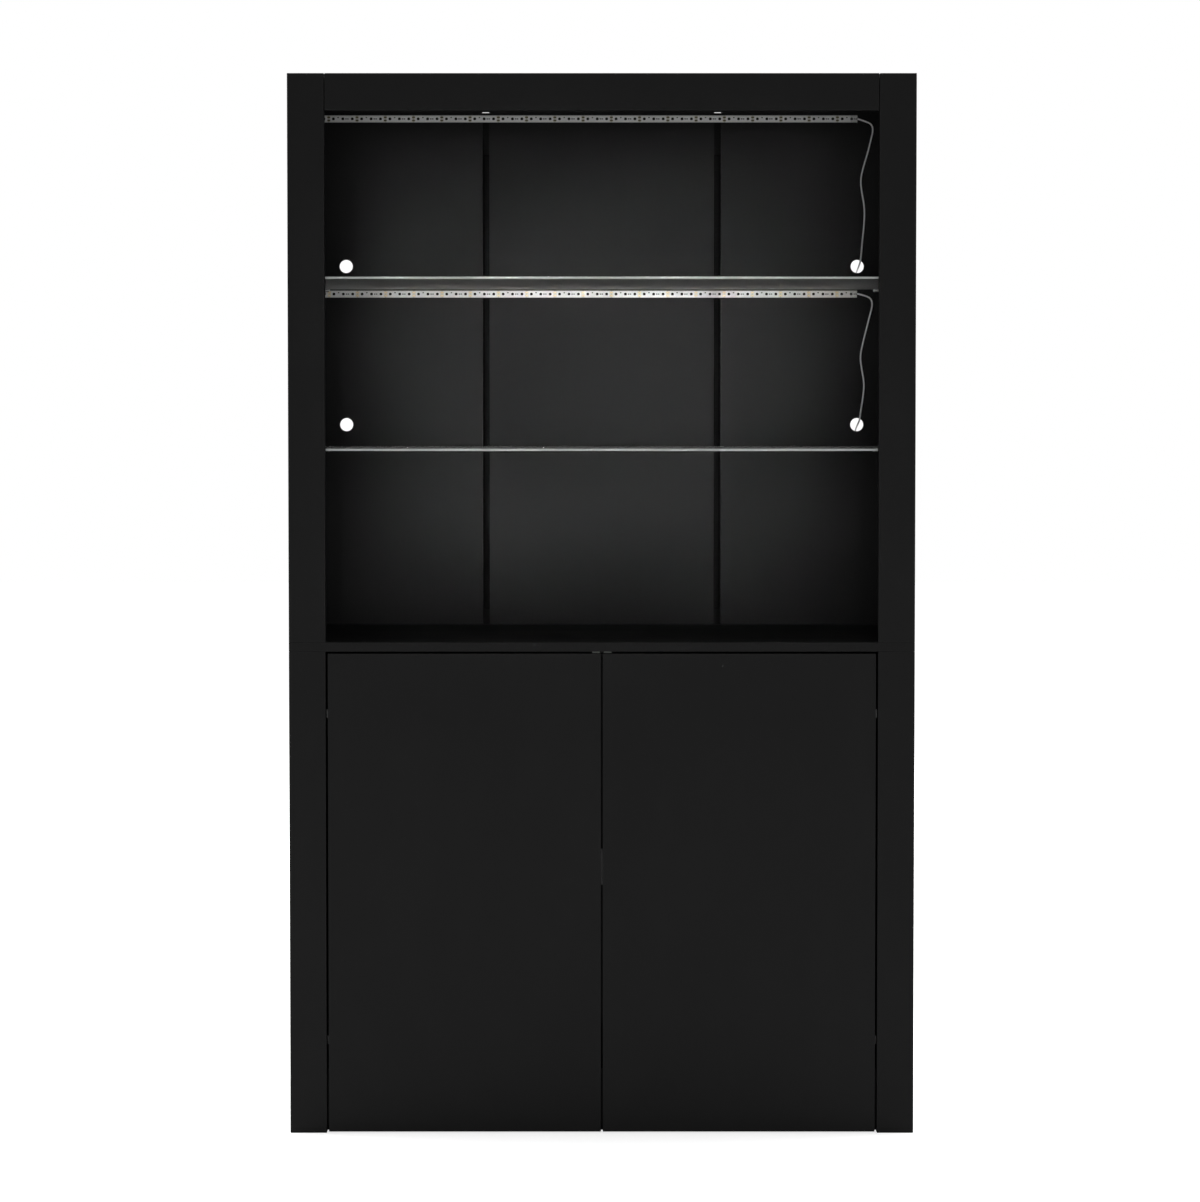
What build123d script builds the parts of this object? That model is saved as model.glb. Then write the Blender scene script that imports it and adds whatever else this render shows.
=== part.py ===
from build123d import *
import os
from math import pi, radians, tan

os.makedirs("parts", exist_ok=True)

# A tall two-part display cabinet in black board: an open, lit display bay with two glass
# shelves stands on a low cupboard with two handle-less push-to-open doors.
# Millimetres. The origin is on the floor under the middle of the cabinet, the front faces -Y
# and +Z is up.

# Driving dimensions
cabinet_width = 1025.0
cabinet_depth = 412.0
cabinet_height = 1737.0
board = 15.0  # thickness of every structural board
thin_board = 5.0  # back panels
edge_round = 0.7  # rounding of the banded edges
stile_width = 60.0
fascia_height = 60.0
seam_gap = 1.0  # between the fascia and the stiles
mid_panel_top = 809.0
top_recess = 5.0  # top panel below the rim
kick_height = 88.0
kick_setback = 19.5  # kick board and bottom panel behind the front plane
batten_thickness = 10.0
batten_width = 60.0
back_slot_centre = 205.2  # the two upright slots between the back panels
back_slot_width = 12.4
back_top_slit = 0.8  # back panels stop this far below the top panel
rebate = 6.0  # back panels sit this deep in the side panels

# Worked out from them
half_width = cabinet_width / 2
front = -cabinet_depth / 2
rear = cabinet_depth / 2
frame_rear = front + board  # rear face of stiles, fascia and doors
panel_rear = rear - batten_thickness  # rear face of the carcass boards and back panels
back_face = panel_rear - thin_board  # front face of the back panels
side_inner = half_width - board
opening_half = half_width - stile_width
mid_panel_bottom = mid_panel_top - board
top_panel_top = cabinet_height - top_recess
top_panel_bottom = top_panel_top - board
back_top = top_panel_bottom - back_top_slit
bottom_top = kick_height + board
inner_front = front + kick_setback

# Doors
door_hinge_gap = 3.5
door_top_gap = 3.5
door_floor_gap = 2.0
door_centre_gap = 3.0
door_outer = opening_half - door_hinge_gap
door_inner = door_centre_gap / 2
door_top = mid_panel_bottom - door_top_gap

# Glass shelves and their pins
glass = 4.0
glass_polish = 0.4
glass_front = front + 24.0
glass_side_gap = 1.0
glass_rear_gap = 1.0
glass_undersides = {"glass_shelf_upper": 1404.0, "glass_shelf_lower": 1122.0}
pin_radius = 2.5
pin_bore = 7.0
pin_reach = 17.5
inner_shelf_underside = 430.0
inner_shelf_front = front + 46.0
inner_shelf_clearance = 1.0

# Cable holes through the outer back panels
cable_hole_radius = 11.75
cable_hole_x = 453.0
cable_hole_heights = (1444.7, 1164.4)

# Lighting strips on the back panels, their end sleeves and their leads
strip_width = 12.0
strip_thickness = 1.2
strip_left = -494.0
strip_right = 452.3
strip_heights = {"led_strip_upper": 1705.0, "led_strip_lower": 1395.7}
sleeve_length = 12.0
sleeve_wall = 0.4
sleeve_front = 3.6  # how far the sleeve stands off the back panel
lead_radius = 1.5
coil_mid_radius = 17.0
coil_half_band = 3.0  # two turns side by side
coil_centre_y = 243.0
plug_start_x = -7.5  # from the coil's centre
plug_body_radius = 4.8
plug_lift = 0.05

# Concealed hinges: the pin stands inside the door, near its hinge edge
hinge_heights = (150.0, 690.0)
pin_from_edge = 7.0
pin_from_front = 7.0
hinge_x = door_outer - pin_from_edge
hinge_y = front + pin_from_front
door_rear_v = board - pin_from_front  # rear face of the door, measured from the pin
cup_radius = 17.5
cup_depth = 12.0
cup_wall = 0.8
cup_flange = 1.5
cup_u = 3.0 + cup_radius - pin_from_edge  # cup centre, measured from the pin
hinge_pin_radius = 1.25
hinge_pin_half = 7.5
eye_radius = 2.2
eye_clearance = 0.05
neck_half = 4.0
arm_half = 7.0
foot_half = 16.0
arm_thickness = 2.4
arm_inside = 11.8  # swept circle of the door's hinge edge lies inside this
arm_gap = 0.2
riser_u = -14.4  # outer face of the arm's riser, measured from the pin
foot_u = (-44.0, -12.0)
foot_screw_u = -30.0
foot_screw_dz = 11.0
cup_screw_u = 9.5  # from the cup's centre, towards the middle of the door
cup_screw_dz = 24.0
rim_radius = 19.0
wing = (16.0, 60.0, 4.0)  # width, height and corner radius of the cup's flange

# Double push latch above the doors
latch_half = 17.0
latch_front = front + 25.0
latch_rear = latch_front + 40.0
latch_bottom = mid_panel_bottom - 14.0
plunger_x = 9.5
plunger_head = (12.5, 12.0, 3.0)
plunger_z = mid_panel_bottom - 7.0
stem_radius = 3.0
stem_clearance = 0.08
stem_end = front + 41.0
bore_end = front + 59.0
strike_thickness = 1.0
strike_gap = 0.3
strike_half = 6.3
strike_drop = (25.0, 1.5)  # its ends below the door's top
strike_screw_drop = 17.0
strike_hole_radius = 2.6
ear_reach = 10.0
ear_half = 8.0
ear_thickness = 3.0
ear_screw = 5.0
spring_radii = (2.8, 1.9)

# Buffer between the doors
buffer_half = 6.0
buffer_thickness = 3.4
buffer_z = (408.0, 467.0)

# Strip in each upright slot of the back
joint_strip_width = 10.0
joint_strip_setback = 1.5
joint_strip_z = (837.0, 1641.5)

# Fittings
cam_radius = 7.5
cam_depth = 12.0
cam_setback = 24.0
bolt_radius = 3.5
bolt_grip = 10.0
dowel_radius = 4.0
dowel_length = 30.0
dowel_grip = 9.0
screw_radius = 1.5
screw_head_radius = 3.0
screw_head_depth = 1.5
screw_length = 12.0
screw_cross = (3.2, 0.8)
cam_cross = (8.0, 1.4, 2.0)
fitting_sink_depth = 3.0

bores = {}  # board name: list of (mouth, outward direction, radius, depth)
sinks = {}  # board name: list of (mouth, outward direction), countersunk for the small screw
cams = []
cam_bolts = []
dowel_places = []
up, down = Vector(0, 0, 1), Vector(0, 0, -1)
back, forward = Vector(0, 1, 0), Vector(0, -1, 0)


def save(piece, name):
    piece.part.label = name
    export_step(piece.part, f"parts/{name}.step")


def block(low, high, mode=Mode.ADD):
    """A plain block between two opposite corners, in the part being built."""
    with BuildSketch(Plane.XY.offset(low[2])) as outline:
        with Locations(((low[0] + high[0]) / 2, (low[1] + high[1]) / 2)):
            Rectangle(high[0] - low[0], high[1] - low[1])
    extrude(outline.sketch, amount=high[2] - low[2], mode=mode)


def drill(name):
    """Every hole that the fittings need in one board."""
    for mouth, outward, radius, depth in bores.get(name, []):
        with Locations(Plane(mouth, z_dir=outward)):
            Hole(radius, depth=depth)
    for mouth, outward in sinks.get(name, []):
        with Locations(Plane(mouth, z_dir=outward)):
            CounterSinkHole(screw_radius, screw_head_radius, depth=screw_length, counter_sink_angle=90)


def make_board(name, low, high, cutouts=()):
    """One rectangular board with rounded edges, its cutouts and its holes."""
    with BuildPart() as piece:
        block(low, high)
        fillet(piece.edges(), edge_round)
        for cut_low, cut_high in cutouts:
            block(cut_low, cut_high, mode=Mode.SUBTRACT)
        drill(name)
    save(piece, name)


def cam_joint(edge_board, face_board, seam, inward, cam_face):
    """A cam and its bolt that pull the edge of one board onto the face of another.

    seam is where the bolt crosses the joint, inward points into the edge board and cam_face is
    the outward direction of the face that the cam is let into.
    """
    mouth = seam + inward * cam_setback + cam_face * (board / 2)
    reach = cam_setback - cam_radius
    bores.setdefault(face_board, []).append((seam, inward, bolt_radius, bolt_grip))
    bores.setdefault(edge_board, []).append((seam, inward * -1, bolt_radius, cam_setback))
    bores.setdefault(edge_board, []).append((mouth, cam_face, cam_radius, cam_depth))
    cams.append((mouth, cam_face, inward))
    cam_bolts.append((seam - inward * bolt_grip, inward, bolt_grip + reach))


def dowel_joint(edge_board, face_board, seam, inward):
    """A dowel across the joint between an edge and a face."""
    bores.setdefault(face_board, []).append((seam, inward, dowel_radius, dowel_grip))
    bores.setdefault(edge_board, []).append((seam, inward * -1, dowel_radius, dowel_length - dowel_grip))
    dowel_places.append((seam - inward * dowel_grip, inward))


def back_screw(panels, place):
    """One small screw from behind, through the first board into the next."""
    mouth = Vector(*place)
    sinks.setdefault(panels[0], []).append((mouth, back))
    if len(panels) > 1:
        bores.setdefault(panels[1], []).append((mouth, back, screw_radius, screw_length))
    back_screw_places.append((mouth, back))


def screw_solid(mouth, outward, length=screw_length):
    """A countersunk cross-head screw whose head is flush at mouth."""
    place = Plane(mouth, z_dir=outward)
    with BuildSketch(place.offset(-length)) as shank:
        Circle(screw_radius)
    extrude(shank.sketch, amount=length - screw_head_depth)
    with BuildSketch(place.offset(-screw_head_depth)) as neck:
        Circle(screw_radius)
    extrude(neck.sketch, amount=screw_head_depth, taper=-45)
    with BuildSketch(place) as cross:
        Rectangle(screw_cross[0], screw_cross[1])
        Rectangle(screw_cross[1], screw_cross[0])
    extrude(cross.sketch, amount=-screw_cross[1], mode=Mode.SUBTRACT)


# Joint layout of the upper unit. side is -1 on the left and +1 on the right.
sides = {"left": -1, "right": 1}
top_mid = (top_panel_top + top_panel_bottom) / 2
for word, side in sides.items():
    outward = Vector(side, 0, 0)
    inward = Vector(-side, 0, 0)
    upper_side, base_side = f"upper_{word}_side", f"base_{word}_side"
    wall_mid = side * (half_width - board / 2)
    for y in (-130.0, 130.0):
        cam_joint("top_panel", upper_side, Vector(side * side_inner, y, top_mid), inward, up)
        cam_joint(upper_side, "mid_panel", Vector(wall_mid, y, mid_panel_top), up, inward)
        cam_joint("base_bottom", base_side, Vector(side * side_inner, y, kick_height + board / 2), inward, down)
    for y in (-165.0, 165.0):
        dowel_joint("top_panel", upper_side, Vector(side * side_inner, y, top_mid), inward)
        dowel_joint(upper_side, "mid_panel", Vector(wall_mid, y, mid_panel_top), up)
        dowel_joint("base_bottom", base_side, Vector(side * side_inner, y, kick_height + board / 2), inward)
    for y in (-95.0, 95.0):
        cam_joint(base_side, "mid_panel", Vector(wall_mid, y, mid_panel_bottom), down, inward)
    for y in (-60.0, 60.0):
        dowel_joint(base_side, "mid_panel", Vector(wall_mid, y, mid_panel_bottom), down)
    for z in (880.0, 1270.0, 1660.0):
        cam_joint(upper_side, f"upper_{word}_stile", Vector(wall_mid, frame_rear, z), back, inward)
    for z in (1075.0, 1465.0):
        dowel_joint(upper_side, f"upper_{word}_stile", Vector(wall_mid, frame_rear, z), back)
    for z in (60.0, 400.0, 735.0):
        cam_joint(base_side, f"base_{word}_stile", Vector(wall_mid, frame_rear, z), back, inward)
    for z in (230.0, 570.0):
        dowel_joint(base_side, f"base_{word}_stile", Vector(wall_mid, frame_rear, z), back)
    dowel_joint("kick_board", base_side, Vector(side * side_inner, inner_front + board / 2, 44.0), inward)
    cam_joint("top_panel", "top_fascia", Vector(side * 300.0, frame_rear, top_mid), back, up)
    dowel_joint("kick_board", "base_bottom", Vector(side * 250.0, inner_front + board / 2, kick_height), down)
for x in (-150.0, 150.0):
    dowel_joint("top_panel", "top_fascia", Vector(x, frame_rear, top_mid), back)
for y in (-90.0, 110.0):
    dowel_joint("centre_partition", "mid_panel", Vector(0, y, mid_panel_bottom), down)
    dowel_joint("centre_partition", "base_bottom", Vector(0, y, bottom_top), up)
cam_joint("centre_partition", "mid_panel", Vector(0, 10.0, mid_panel_bottom), down, Vector(1, 0, 0))

# Shelf pins: glass shelves on the upper sides, board shelves on the base sides and partition
pin_places = []  # (wall face point, direction into the bay, reach)
for side, word in ((-1, "left"), (1, "right")):
    inward = Vector(-side, 0, 0)
    for underside in glass_undersides.values():
        for y in (-150.0, 177.0):
            wall = Vector(side * side_inner, y, underside - pin_radius)
            pin_places.append((wall, inward, pin_reach))
            bores.setdefault(f"upper_{word}_side", []).append((wall, inward, pin_radius, pin_bore))
    for y in (-120.0, 150.0):
        wall = Vector(side * side_inner, y, inner_shelf_underside - pin_radius)
        pin_places.append((wall, inward, 9.0))
        bores.setdefault(f"base_{word}_side", []).append((wall, inward, pin_radius, pin_bore))
        wall = Vector(side * board / 2, y, inner_shelf_underside - pin_radius)
        pin_places.append((wall, inward * -1, 9.0))
        bores.setdefault("centre_partition", []).append((wall, inward * -1, pin_radius, pin_bore))

# Small screws: back panels to the side rebates, battens to the panels, base back to its frame
back_screw_places = []
rebate_x = side_inner + rebate / 2
for word, side in sides.items():
    for z in (845.0, 1060.0, 1275.0, 1490.0, 1700.0):
        back_screw((f"back_panel_{word}", f"upper_{word}_side"), (side * rebate_x, panel_rear, z))
    for z in (30.0, 270.0, 520.0, 765.0):
        back_screw(("base_back", f"base_{word}_side"), (side * rebate_x, panel_rear, z))
    back_screw((f"back_batten_{word}", "mid_panel"), (side * back_slot_centre, rear, mid_panel_bottom + board / 2))
    for z in (850.0, 1260.0, 1675.0):
        for panel, x in ((f"back_panel_{word}", 225.0), ("back_panel_middle", 185.0)):
            back_screw((f"back_batten_{word}", panel), (side * x, rear, z))
for x in (-250.0, 250.0):
    back_screw(("base_back", "base_bottom"), (x, panel_rear, kick_height + board / 2))
for z in (240.0, 610.0):
    back_screw(("base_back", "centre_partition"), (0, panel_rear, z))

# Fixing screws of the hinge arms and the latch, and the screws in each door
fixing_screws = []
door_screws = {"left": [], "right": []}
for word, side in sides.items():
    for height in hinge_heights:
        for dz in (-foot_screw_dz, foot_screw_dz):
            head = Vector(side * (hinge_x - foot_screw_u), frame_rear + arm_thickness, height + dz)
            fixing_screws.append((head, back))
            bores.setdefault(f"base_{word}_stile", []).append((head, back, screw_radius, screw_length))
        for dz in (-cup_screw_dz, cup_screw_dz):
            head = Vector(side * (hinge_x - cup_u - cup_screw_u), frame_rear + cup_flange, height + dz)
            door_screws[word].append((head, back))
            bores.setdefault(f"door_{word}", []).append((head, back, screw_radius, screw_length))
    strike_head = Vector(side * plunger_x, frame_rear + strike_thickness + 0.5, door_top - strike_screw_drop)
    door_screws[word].append((strike_head, back))
    bores.setdefault(f"door_{word}", []).append((strike_head, back, screw_radius, screw_length))
    ear = Vector(side * (latch_half + ear_screw), (latch_front + latch_rear) / 2, mid_panel_bottom - ear_thickness)
    fixing_screws.append((ear, down))
    bores.setdefault("mid_panel", []).append((ear, down, screw_radius, screw_length))

# Upper unit: frame, side panels and top
for word, side in sides.items():
    near, far = sorted((side * opening_half, side * half_width))
    make_board(f"upper_{word}_stile", (near, front, mid_panel_top), (far, frame_rear, cabinet_height))
    make_board(f"base_{word}_stile", (near, front, 0), (far, frame_rear, mid_panel_bottom))
    near, far = sorted((side * side_inner, side * half_width))
    near_cut, far_cut = sorted((side * (side_inner - 1), side * (side_inner + rebate)))
    make_board(
        f"upper_{word}_side",
        (near, frame_rear, mid_panel_top),
        (far, panel_rear, cabinet_height),
        [((near_cut, back_face, mid_panel_top - 1), (far_cut, panel_rear + 1, top_panel_bottom))],
    )
    make_board(
        f"base_{word}_side",
        (near, frame_rear, 0),
        (far, panel_rear, mid_panel_bottom),
        [((near_cut, back_face, -1), (far_cut, panel_rear + 1, mid_panel_bottom + 1))],
    )
fascia_half = opening_half - seam_gap
make_board(
    "top_fascia", (-fascia_half, front, cabinet_height - fascia_height), (fascia_half, frame_rear, cabinet_height)
)
make_board("top_panel", (-side_inner, frame_rear, top_panel_bottom), (side_inner, panel_rear, top_panel_top))

# Back of the upper unit: three panels, two upright slots, a strip in each and a batten behind
slot_inner = back_slot_centre - back_slot_width / 2
slot_outer = back_slot_centre + back_slot_width / 2
outer_edge = side_inner + rebate
with BuildPart() as back_panel_middle:
    block((-slot_inner, back_face, mid_panel_top), (slot_inner, panel_rear, back_top))
    drill("back_panel_middle")
save(back_panel_middle, "back_panel_middle")
for word, side in sides.items():
    near, far = sorted((side * slot_outer, side * outer_edge))
    with BuildPart() as back_panel:
        block((near, back_face, mid_panel_top), (far, panel_rear, back_top))
        for height in cable_hole_heights:
            with Locations(Plane((side * cable_hole_x, back_face, height), z_dir=forward)):
                Hole(cable_hole_radius, depth=thin_board)
        drill(f"back_panel_{word}")
    save(back_panel, f"back_panel_{word}")
    strip_near, strip_far = sorted((side * slot_inner, side * (slot_inner + joint_strip_width)))
    strip_low, strip_high = joint_strip_z
    with BuildPart() as joint_strip:
        block((strip_near, back_face + joint_strip_setback, strip_low), (strip_far, panel_rear, strip_high))
    save(joint_strip, f"joint_strip_{word}")
    batten_near = side * back_slot_centre - batten_width / 2
    with BuildPart() as back_batten:
        block((batten_near, panel_rear, mid_panel_bottom + 1), (batten_near + batten_width, rear, back_top))
        drill(f"back_batten_{word}")
    save(back_batten, f"back_batten_{word}")

# Glass shelves
glass_half = side_inner - glass_side_gap
for name, underside in glass_undersides.items():
    with BuildPart() as glass_shelf:
        block((-glass_half, glass_front, underside), (glass_half, back_face - glass_rear_gap, underside + glass))
        chamfer(glass_shelf.edges(), glass_polish)
    save(glass_shelf, name)

# Shelf pins, round-nosed
with BuildPart() as shelf_pins:
    for wall, bay, reach in pin_places:
        with BuildSketch(Plane(wall - bay * pin_bore, z_dir=bay)) as pin:
            Circle(pin_radius)
        extrude(pin.sketch, amount=pin_bore + reach - pin_radius)
        with Locations(wall + bay * (reach - pin_radius)):
            Sphere(pin_radius)
save(shelf_pins, "shelf_pins")

# Mid panel: roof of the cupboard and floor of the display bay
make_board("mid_panel", (-half_width, front, mid_panel_bottom), (half_width, panel_rear, mid_panel_top))

# Base unit
make_board("base_bottom", (-side_inner, inner_front, kick_height), (side_inner, back_face, bottom_top))
make_board("kick_board", (-side_inner, inner_front, 0), (side_inner, inner_front + board, kick_height))
make_board(
    "centre_partition",
    (-board / 2, inner_front, bottom_top),
    (board / 2, back_face, mid_panel_bottom),
    [
        ((-board, inner_front - 1, latch_bottom - 2), (board, latch_rear + 6, mid_panel_bottom + 1)),
        ((-board, inner_front - 1, bottom_top - 1), (board, inner_front + 40, 179.0)),
    ],
)
with BuildPart() as base_back:
    block((-outer_edge, back_face, 0), (outer_edge, panel_rear, mid_panel_bottom))
    drill("base_back")
save(base_back, "base_back")
for word, side in sides.items():
    gap = inner_shelf_clearance
    near, far = sorted((side * (board / 2 + gap), side * (side_inner - gap)))
    make_board(
        f"inner_shelf_{word}",
        (near, inner_shelf_front, inner_shelf_underside),
        (far, back_face - gap, inner_shelf_underside + board),
    )

# Doors, with the cup bores of their hinges
for word, side in sides.items():
    near, far = sorted((side * door_inner, side * door_outer))
    for height in hinge_heights:
        mouth = Vector(side * (hinge_x - cup_u), frame_rear, height)
        bores[f"door_{word}"].append((mouth, back, cup_radius, cup_depth))
    make_board(f"door_{word}", (near, front, door_floor_gap), (far, frame_rear, door_top))


def hinge_plane(side, height):
    """Plan view at one hinge: x runs from the pin towards the middle of the door, y to the rear."""
    return Plane(Vector(side * hinge_x, hinge_y, height), x_dir=Vector(-side, 0, 0), z_dir=Vector(0, 0, -side))


def hinge_bar(plane, low, high, half, mode=Mode.ADD):
    """A rectangle of the hinge's plan view, thickened by half to each side."""
    with BuildSketch(plane) as bar:
        with Locations(((low[0] + high[0]) / 2, (low[1] + high[1]) / 2)):
            Rectangle(high[0] - low[0], high[1] - low[1])
    extrude(bar.sketch, amount=half, both=True, mode=mode)


def hinge_round(plane, centre, radius, near, far, mode=Mode.ADD):
    """An upright cylinder at the hinge, from near to far along the pin."""
    with BuildSketch(plane.offset(near)) as disc:
        with Locations(centre):
            Circle(radius)
    extrude(disc.sketch, amount=far - near, mode=mode)


for word, side in sides.items():
    # Arms: foot on the stile, over the door's edge, into the cup and round the pin
    with BuildPart() as hinge_arms:
        for height in hinge_heights:
            plan = hinge_plane(side, height)
            top = arm_inside + arm_gap + arm_thickness
            hinge_bar(plan, (0, -arm_thickness / 2), (arm_inside + arm_thickness, arm_thickness / 2), neck_half)
            hinge_round(plan, (0, 0), eye_radius, -neck_half, neck_half)
            hinge_bar(plan, (arm_inside, -arm_thickness / 2), (arm_inside + arm_thickness, top), neck_half)
            hinge_bar(plan, (riser_u, top - arm_thickness), (arm_inside + arm_thickness, top), arm_half)
            hinge_bar(plan, (riser_u, door_rear_v), (riser_u + arm_thickness, top), arm_half)
            hinge_bar(plan, (foot_u[0], door_rear_v), (foot_u[1], door_rear_v + arm_thickness), foot_half)
            hinge_round(plan, (0, 0), hinge_pin_radius + eye_clearance, -neck_half, neck_half, Mode.SUBTRACT)
        for head, outward in fixing_screws:
            if head.X * side > hinge_x:
                with Locations(Plane(head, z_dir=outward)):
                    CounterSinkHole(screw_radius, screw_head_radius, depth=fitting_sink_depth, counter_sink_angle=90)
    save(hinge_arms, f"hinge_arms_{word}")

    # Cups: a pressed shell with a flange, and two bosses that hold the pin
    with BuildPart() as hinge_cups:
        for height in hinge_heights:
            plan = hinge_plane(side, height)
            for near, far in ((-hinge_pin_half, -neck_half - 0.3), (neck_half + 0.3, hinge_pin_half)):
                hinge_round(plan, (0, 0), eye_radius, near, far)
        for height in hinge_heights:
            mouth = Vector(side * (hinge_x - cup_u), frame_rear, height)
            with BuildSketch(Plane(mouth, z_dir=forward)) as ring:
                Circle(cup_radius)
                Circle(cup_radius - cup_wall, mode=Mode.SUBTRACT)
            extrude(ring.sketch, amount=cup_depth)
            with BuildSketch(Plane(mouth + forward * (cup_depth - cup_wall), z_dir=forward)) as floor:
                Circle(cup_radius)
            extrude(floor.sketch, amount=cup_wall)
            with BuildSketch(Plane(mouth, x_dir=Vector(-side, 0, 0), z_dir=back)) as flange:
                Circle(rim_radius)
                with Locations((wing[0] / 2, 0)):
                    RectangleRounded(*wing)
                Circle(cup_radius - cup_wall, mode=Mode.SUBTRACT)
            extrude(flange.sketch, amount=cup_flange)
        for height in hinge_heights:
            plan = hinge_plane(side, height)
            hinge_round(plan, (0, 0), hinge_pin_radius, -hinge_pin_half, hinge_pin_half, Mode.SUBTRACT)
        for head, outward in door_screws[word][:-1]:
            with Locations(Plane(head, z_dir=outward)):
                CounterSinkHole(screw_radius, screw_head_radius, depth=fitting_sink_depth, counter_sink_angle=90)
    save(hinge_cups, f"hinge_cups_{word}")

    with BuildPart() as hinge_pins:
        for height in hinge_heights:
            plan = hinge_plane(side, height)
            hinge_round(plan, (0, 0), hinge_pin_radius, -hinge_pin_half, hinge_pin_half)
    save(hinge_pins, f"hinge_pins_{word}")

# Push latch: a body under the mid panel, and for each door a sprung plunger and a strike plate
with BuildPart() as latch_body:
    block((-latch_half, latch_front, latch_bottom), (latch_half, latch_rear, mid_panel_bottom))
    fillet(latch_body.edges().filter_by(Axis.Y), 1.0)
    ear_y = (latch_front + latch_rear) / 2
    block(
        (-latch_half - ear_reach, ear_y - ear_half, mid_panel_bottom - ear_thickness),
        (latch_half + ear_reach, ear_y + ear_half, mid_panel_bottom),
    )
    for side in sides.values():
        with Locations(Plane((side * plunger_x, latch_front, plunger_z), z_dir=forward)):
            Hole(stem_radius + stem_clearance, depth=bore_end - latch_front)
        with Locations(Plane((side * (latch_half + ear_screw), ear_y, mid_panel_bottom - ear_thickness), z_dir=down)):
            CounterSinkHole(screw_radius, screw_head_radius, depth=fitting_sink_depth, counter_sink_angle=90)
save(latch_body, "latch_body")

head_front = frame_rear + strike_thickness + strike_gap
for word, side in sides.items():
    head_wide, head_tall, head_thick = plunger_head
    with BuildPart() as latch_plunger:
        block(
            (side * plunger_x - head_wide / 2, head_front, plunger_z - head_tall / 2),
            (side * plunger_x + head_wide / 2, head_front + head_thick, plunger_z + head_tall / 2),
        )
        fillet(latch_plunger.edges().filter_by(Axis.Y), 1.5)
        with BuildSketch(Plane((side * plunger_x, head_front + head_thick, plunger_z), z_dir=back)) as stem:
            Circle(stem_radius)
        extrude(stem.sketch, amount=stem_end - head_front - head_thick)
    save(latch_plunger, f"latch_plunger_{word}")

    with BuildPart() as latch_spring:
        with BuildSketch(Plane((side * plunger_x, stem_end, plunger_z), z_dir=back)) as coil_ring:
            Circle(spring_radii[0])
            Circle(spring_radii[1], mode=Mode.SUBTRACT)
        extrude(coil_ring.sketch, amount=bore_end - stem_end)
    save(latch_spring, f"latch_spring_{word}")

    with BuildPart() as strike_plate:
        block(
            (side * plunger_x - strike_half, frame_rear, door_top - strike_drop[0]),
            (side * plunger_x + strike_half, frame_rear + strike_thickness, door_top - strike_drop[1]),
        )
        fillet(strike_plate.edges().filter_by(Axis.Y), 1.5)
        screw_place = (side * plunger_x, frame_rear + strike_thickness, door_top - strike_screw_drop)
        with Locations(Plane(screw_place, z_dir=back)):
            Hole(strike_hole_radius, depth=strike_thickness)
    save(strike_plate, f"strike_plate_{word}")

# Buffer on the partition's front edge, where both doors close
with BuildPart() as centre_buffer:
    block((-buffer_half, inner_front - buffer_thickness, buffer_z[0]), (buffer_half, inner_front, buffer_z[1]))
    fillet(centre_buffer.edges().filter_by(Axis.Y), 2.0)
save(centre_buffer, "centre_buffer")

# Fittings, one node for each kind
with BuildPart() as cam_locks:
    for mouth, cam_face, inward in cams:
        with BuildSketch(Plane(mouth, x_dir=inward, z_dir=cam_face * -1)) as cam:
            Circle(cam_radius)
        extrude(cam.sketch, amount=cam_depth)
        with BuildSketch(Plane(mouth, x_dir=inward, z_dir=cam_face)) as cross:
            Rectangle(cam_cross[0], cam_cross[1])
            Rectangle(cam_cross[1], cam_cross[0])
        extrude(cross.sketch, amount=-cam_cross[2], mode=Mode.SUBTRACT)
save(cam_locks, "cam_locks")
with BuildPart() as cam_bolt_set:
    for start, inward, length in cam_bolts:
        with BuildSketch(Plane(start, z_dir=inward)) as bolt:
            Circle(bolt_radius)
        extrude(bolt.sketch, amount=length)
save(cam_bolt_set, "cam_bolts")
with BuildPart() as dowels:
    for start, inward in dowel_places:
        with BuildSketch(Plane(start, z_dir=inward)) as dowel:
            Circle(dowel_radius)
        extrude(dowel.sketch, amount=dowel_length)
save(dowels, "dowels")
with BuildPart() as back_screws:
    for mouth, outward in back_screw_places:
        screw_solid(mouth, outward)
save(back_screws, "back_screws")
with BuildPart() as fixing_screw_set:
    for mouth, outward in fixing_screws:
        screw_solid(mouth, outward)
save(fixing_screw_set, "fixing_screws")
for word in sides:
    with BuildPart() as door_screw_set:
        for mouth, outward in door_screws[word]:
            screw_solid(mouth, outward)
    save(door_screw_set, f"door_screws_{word}")

# Lighting strips on the back panels and the clear sleeves on their right-hand ends
for name, height in strip_heights.items():
    with BuildPart() as led_strip:
        block(
            (strip_left, back_face - strip_thickness, height - strip_width / 2),
            (strip_right, back_face, height + strip_width / 2),
        )
    save(led_strip, name)
with BuildPart() as led_sleeves:
    for height in strip_heights.values():
        tall = strip_width / 2 + sleeve_wall
        block(
            (strip_right - sleeve_length, back_face - sleeve_front, height - tall),
            (strip_right + sleeve_wall, back_face, height + tall),
        )
        block(
            (strip_right - sleeve_length, back_face - strip_thickness, height - strip_width / 2),
            (strip_right, back_face, height + strip_width / 2),
            mode=Mode.SUBTRACT,
        )
save(led_sleeves, "led_sleeves")

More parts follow.
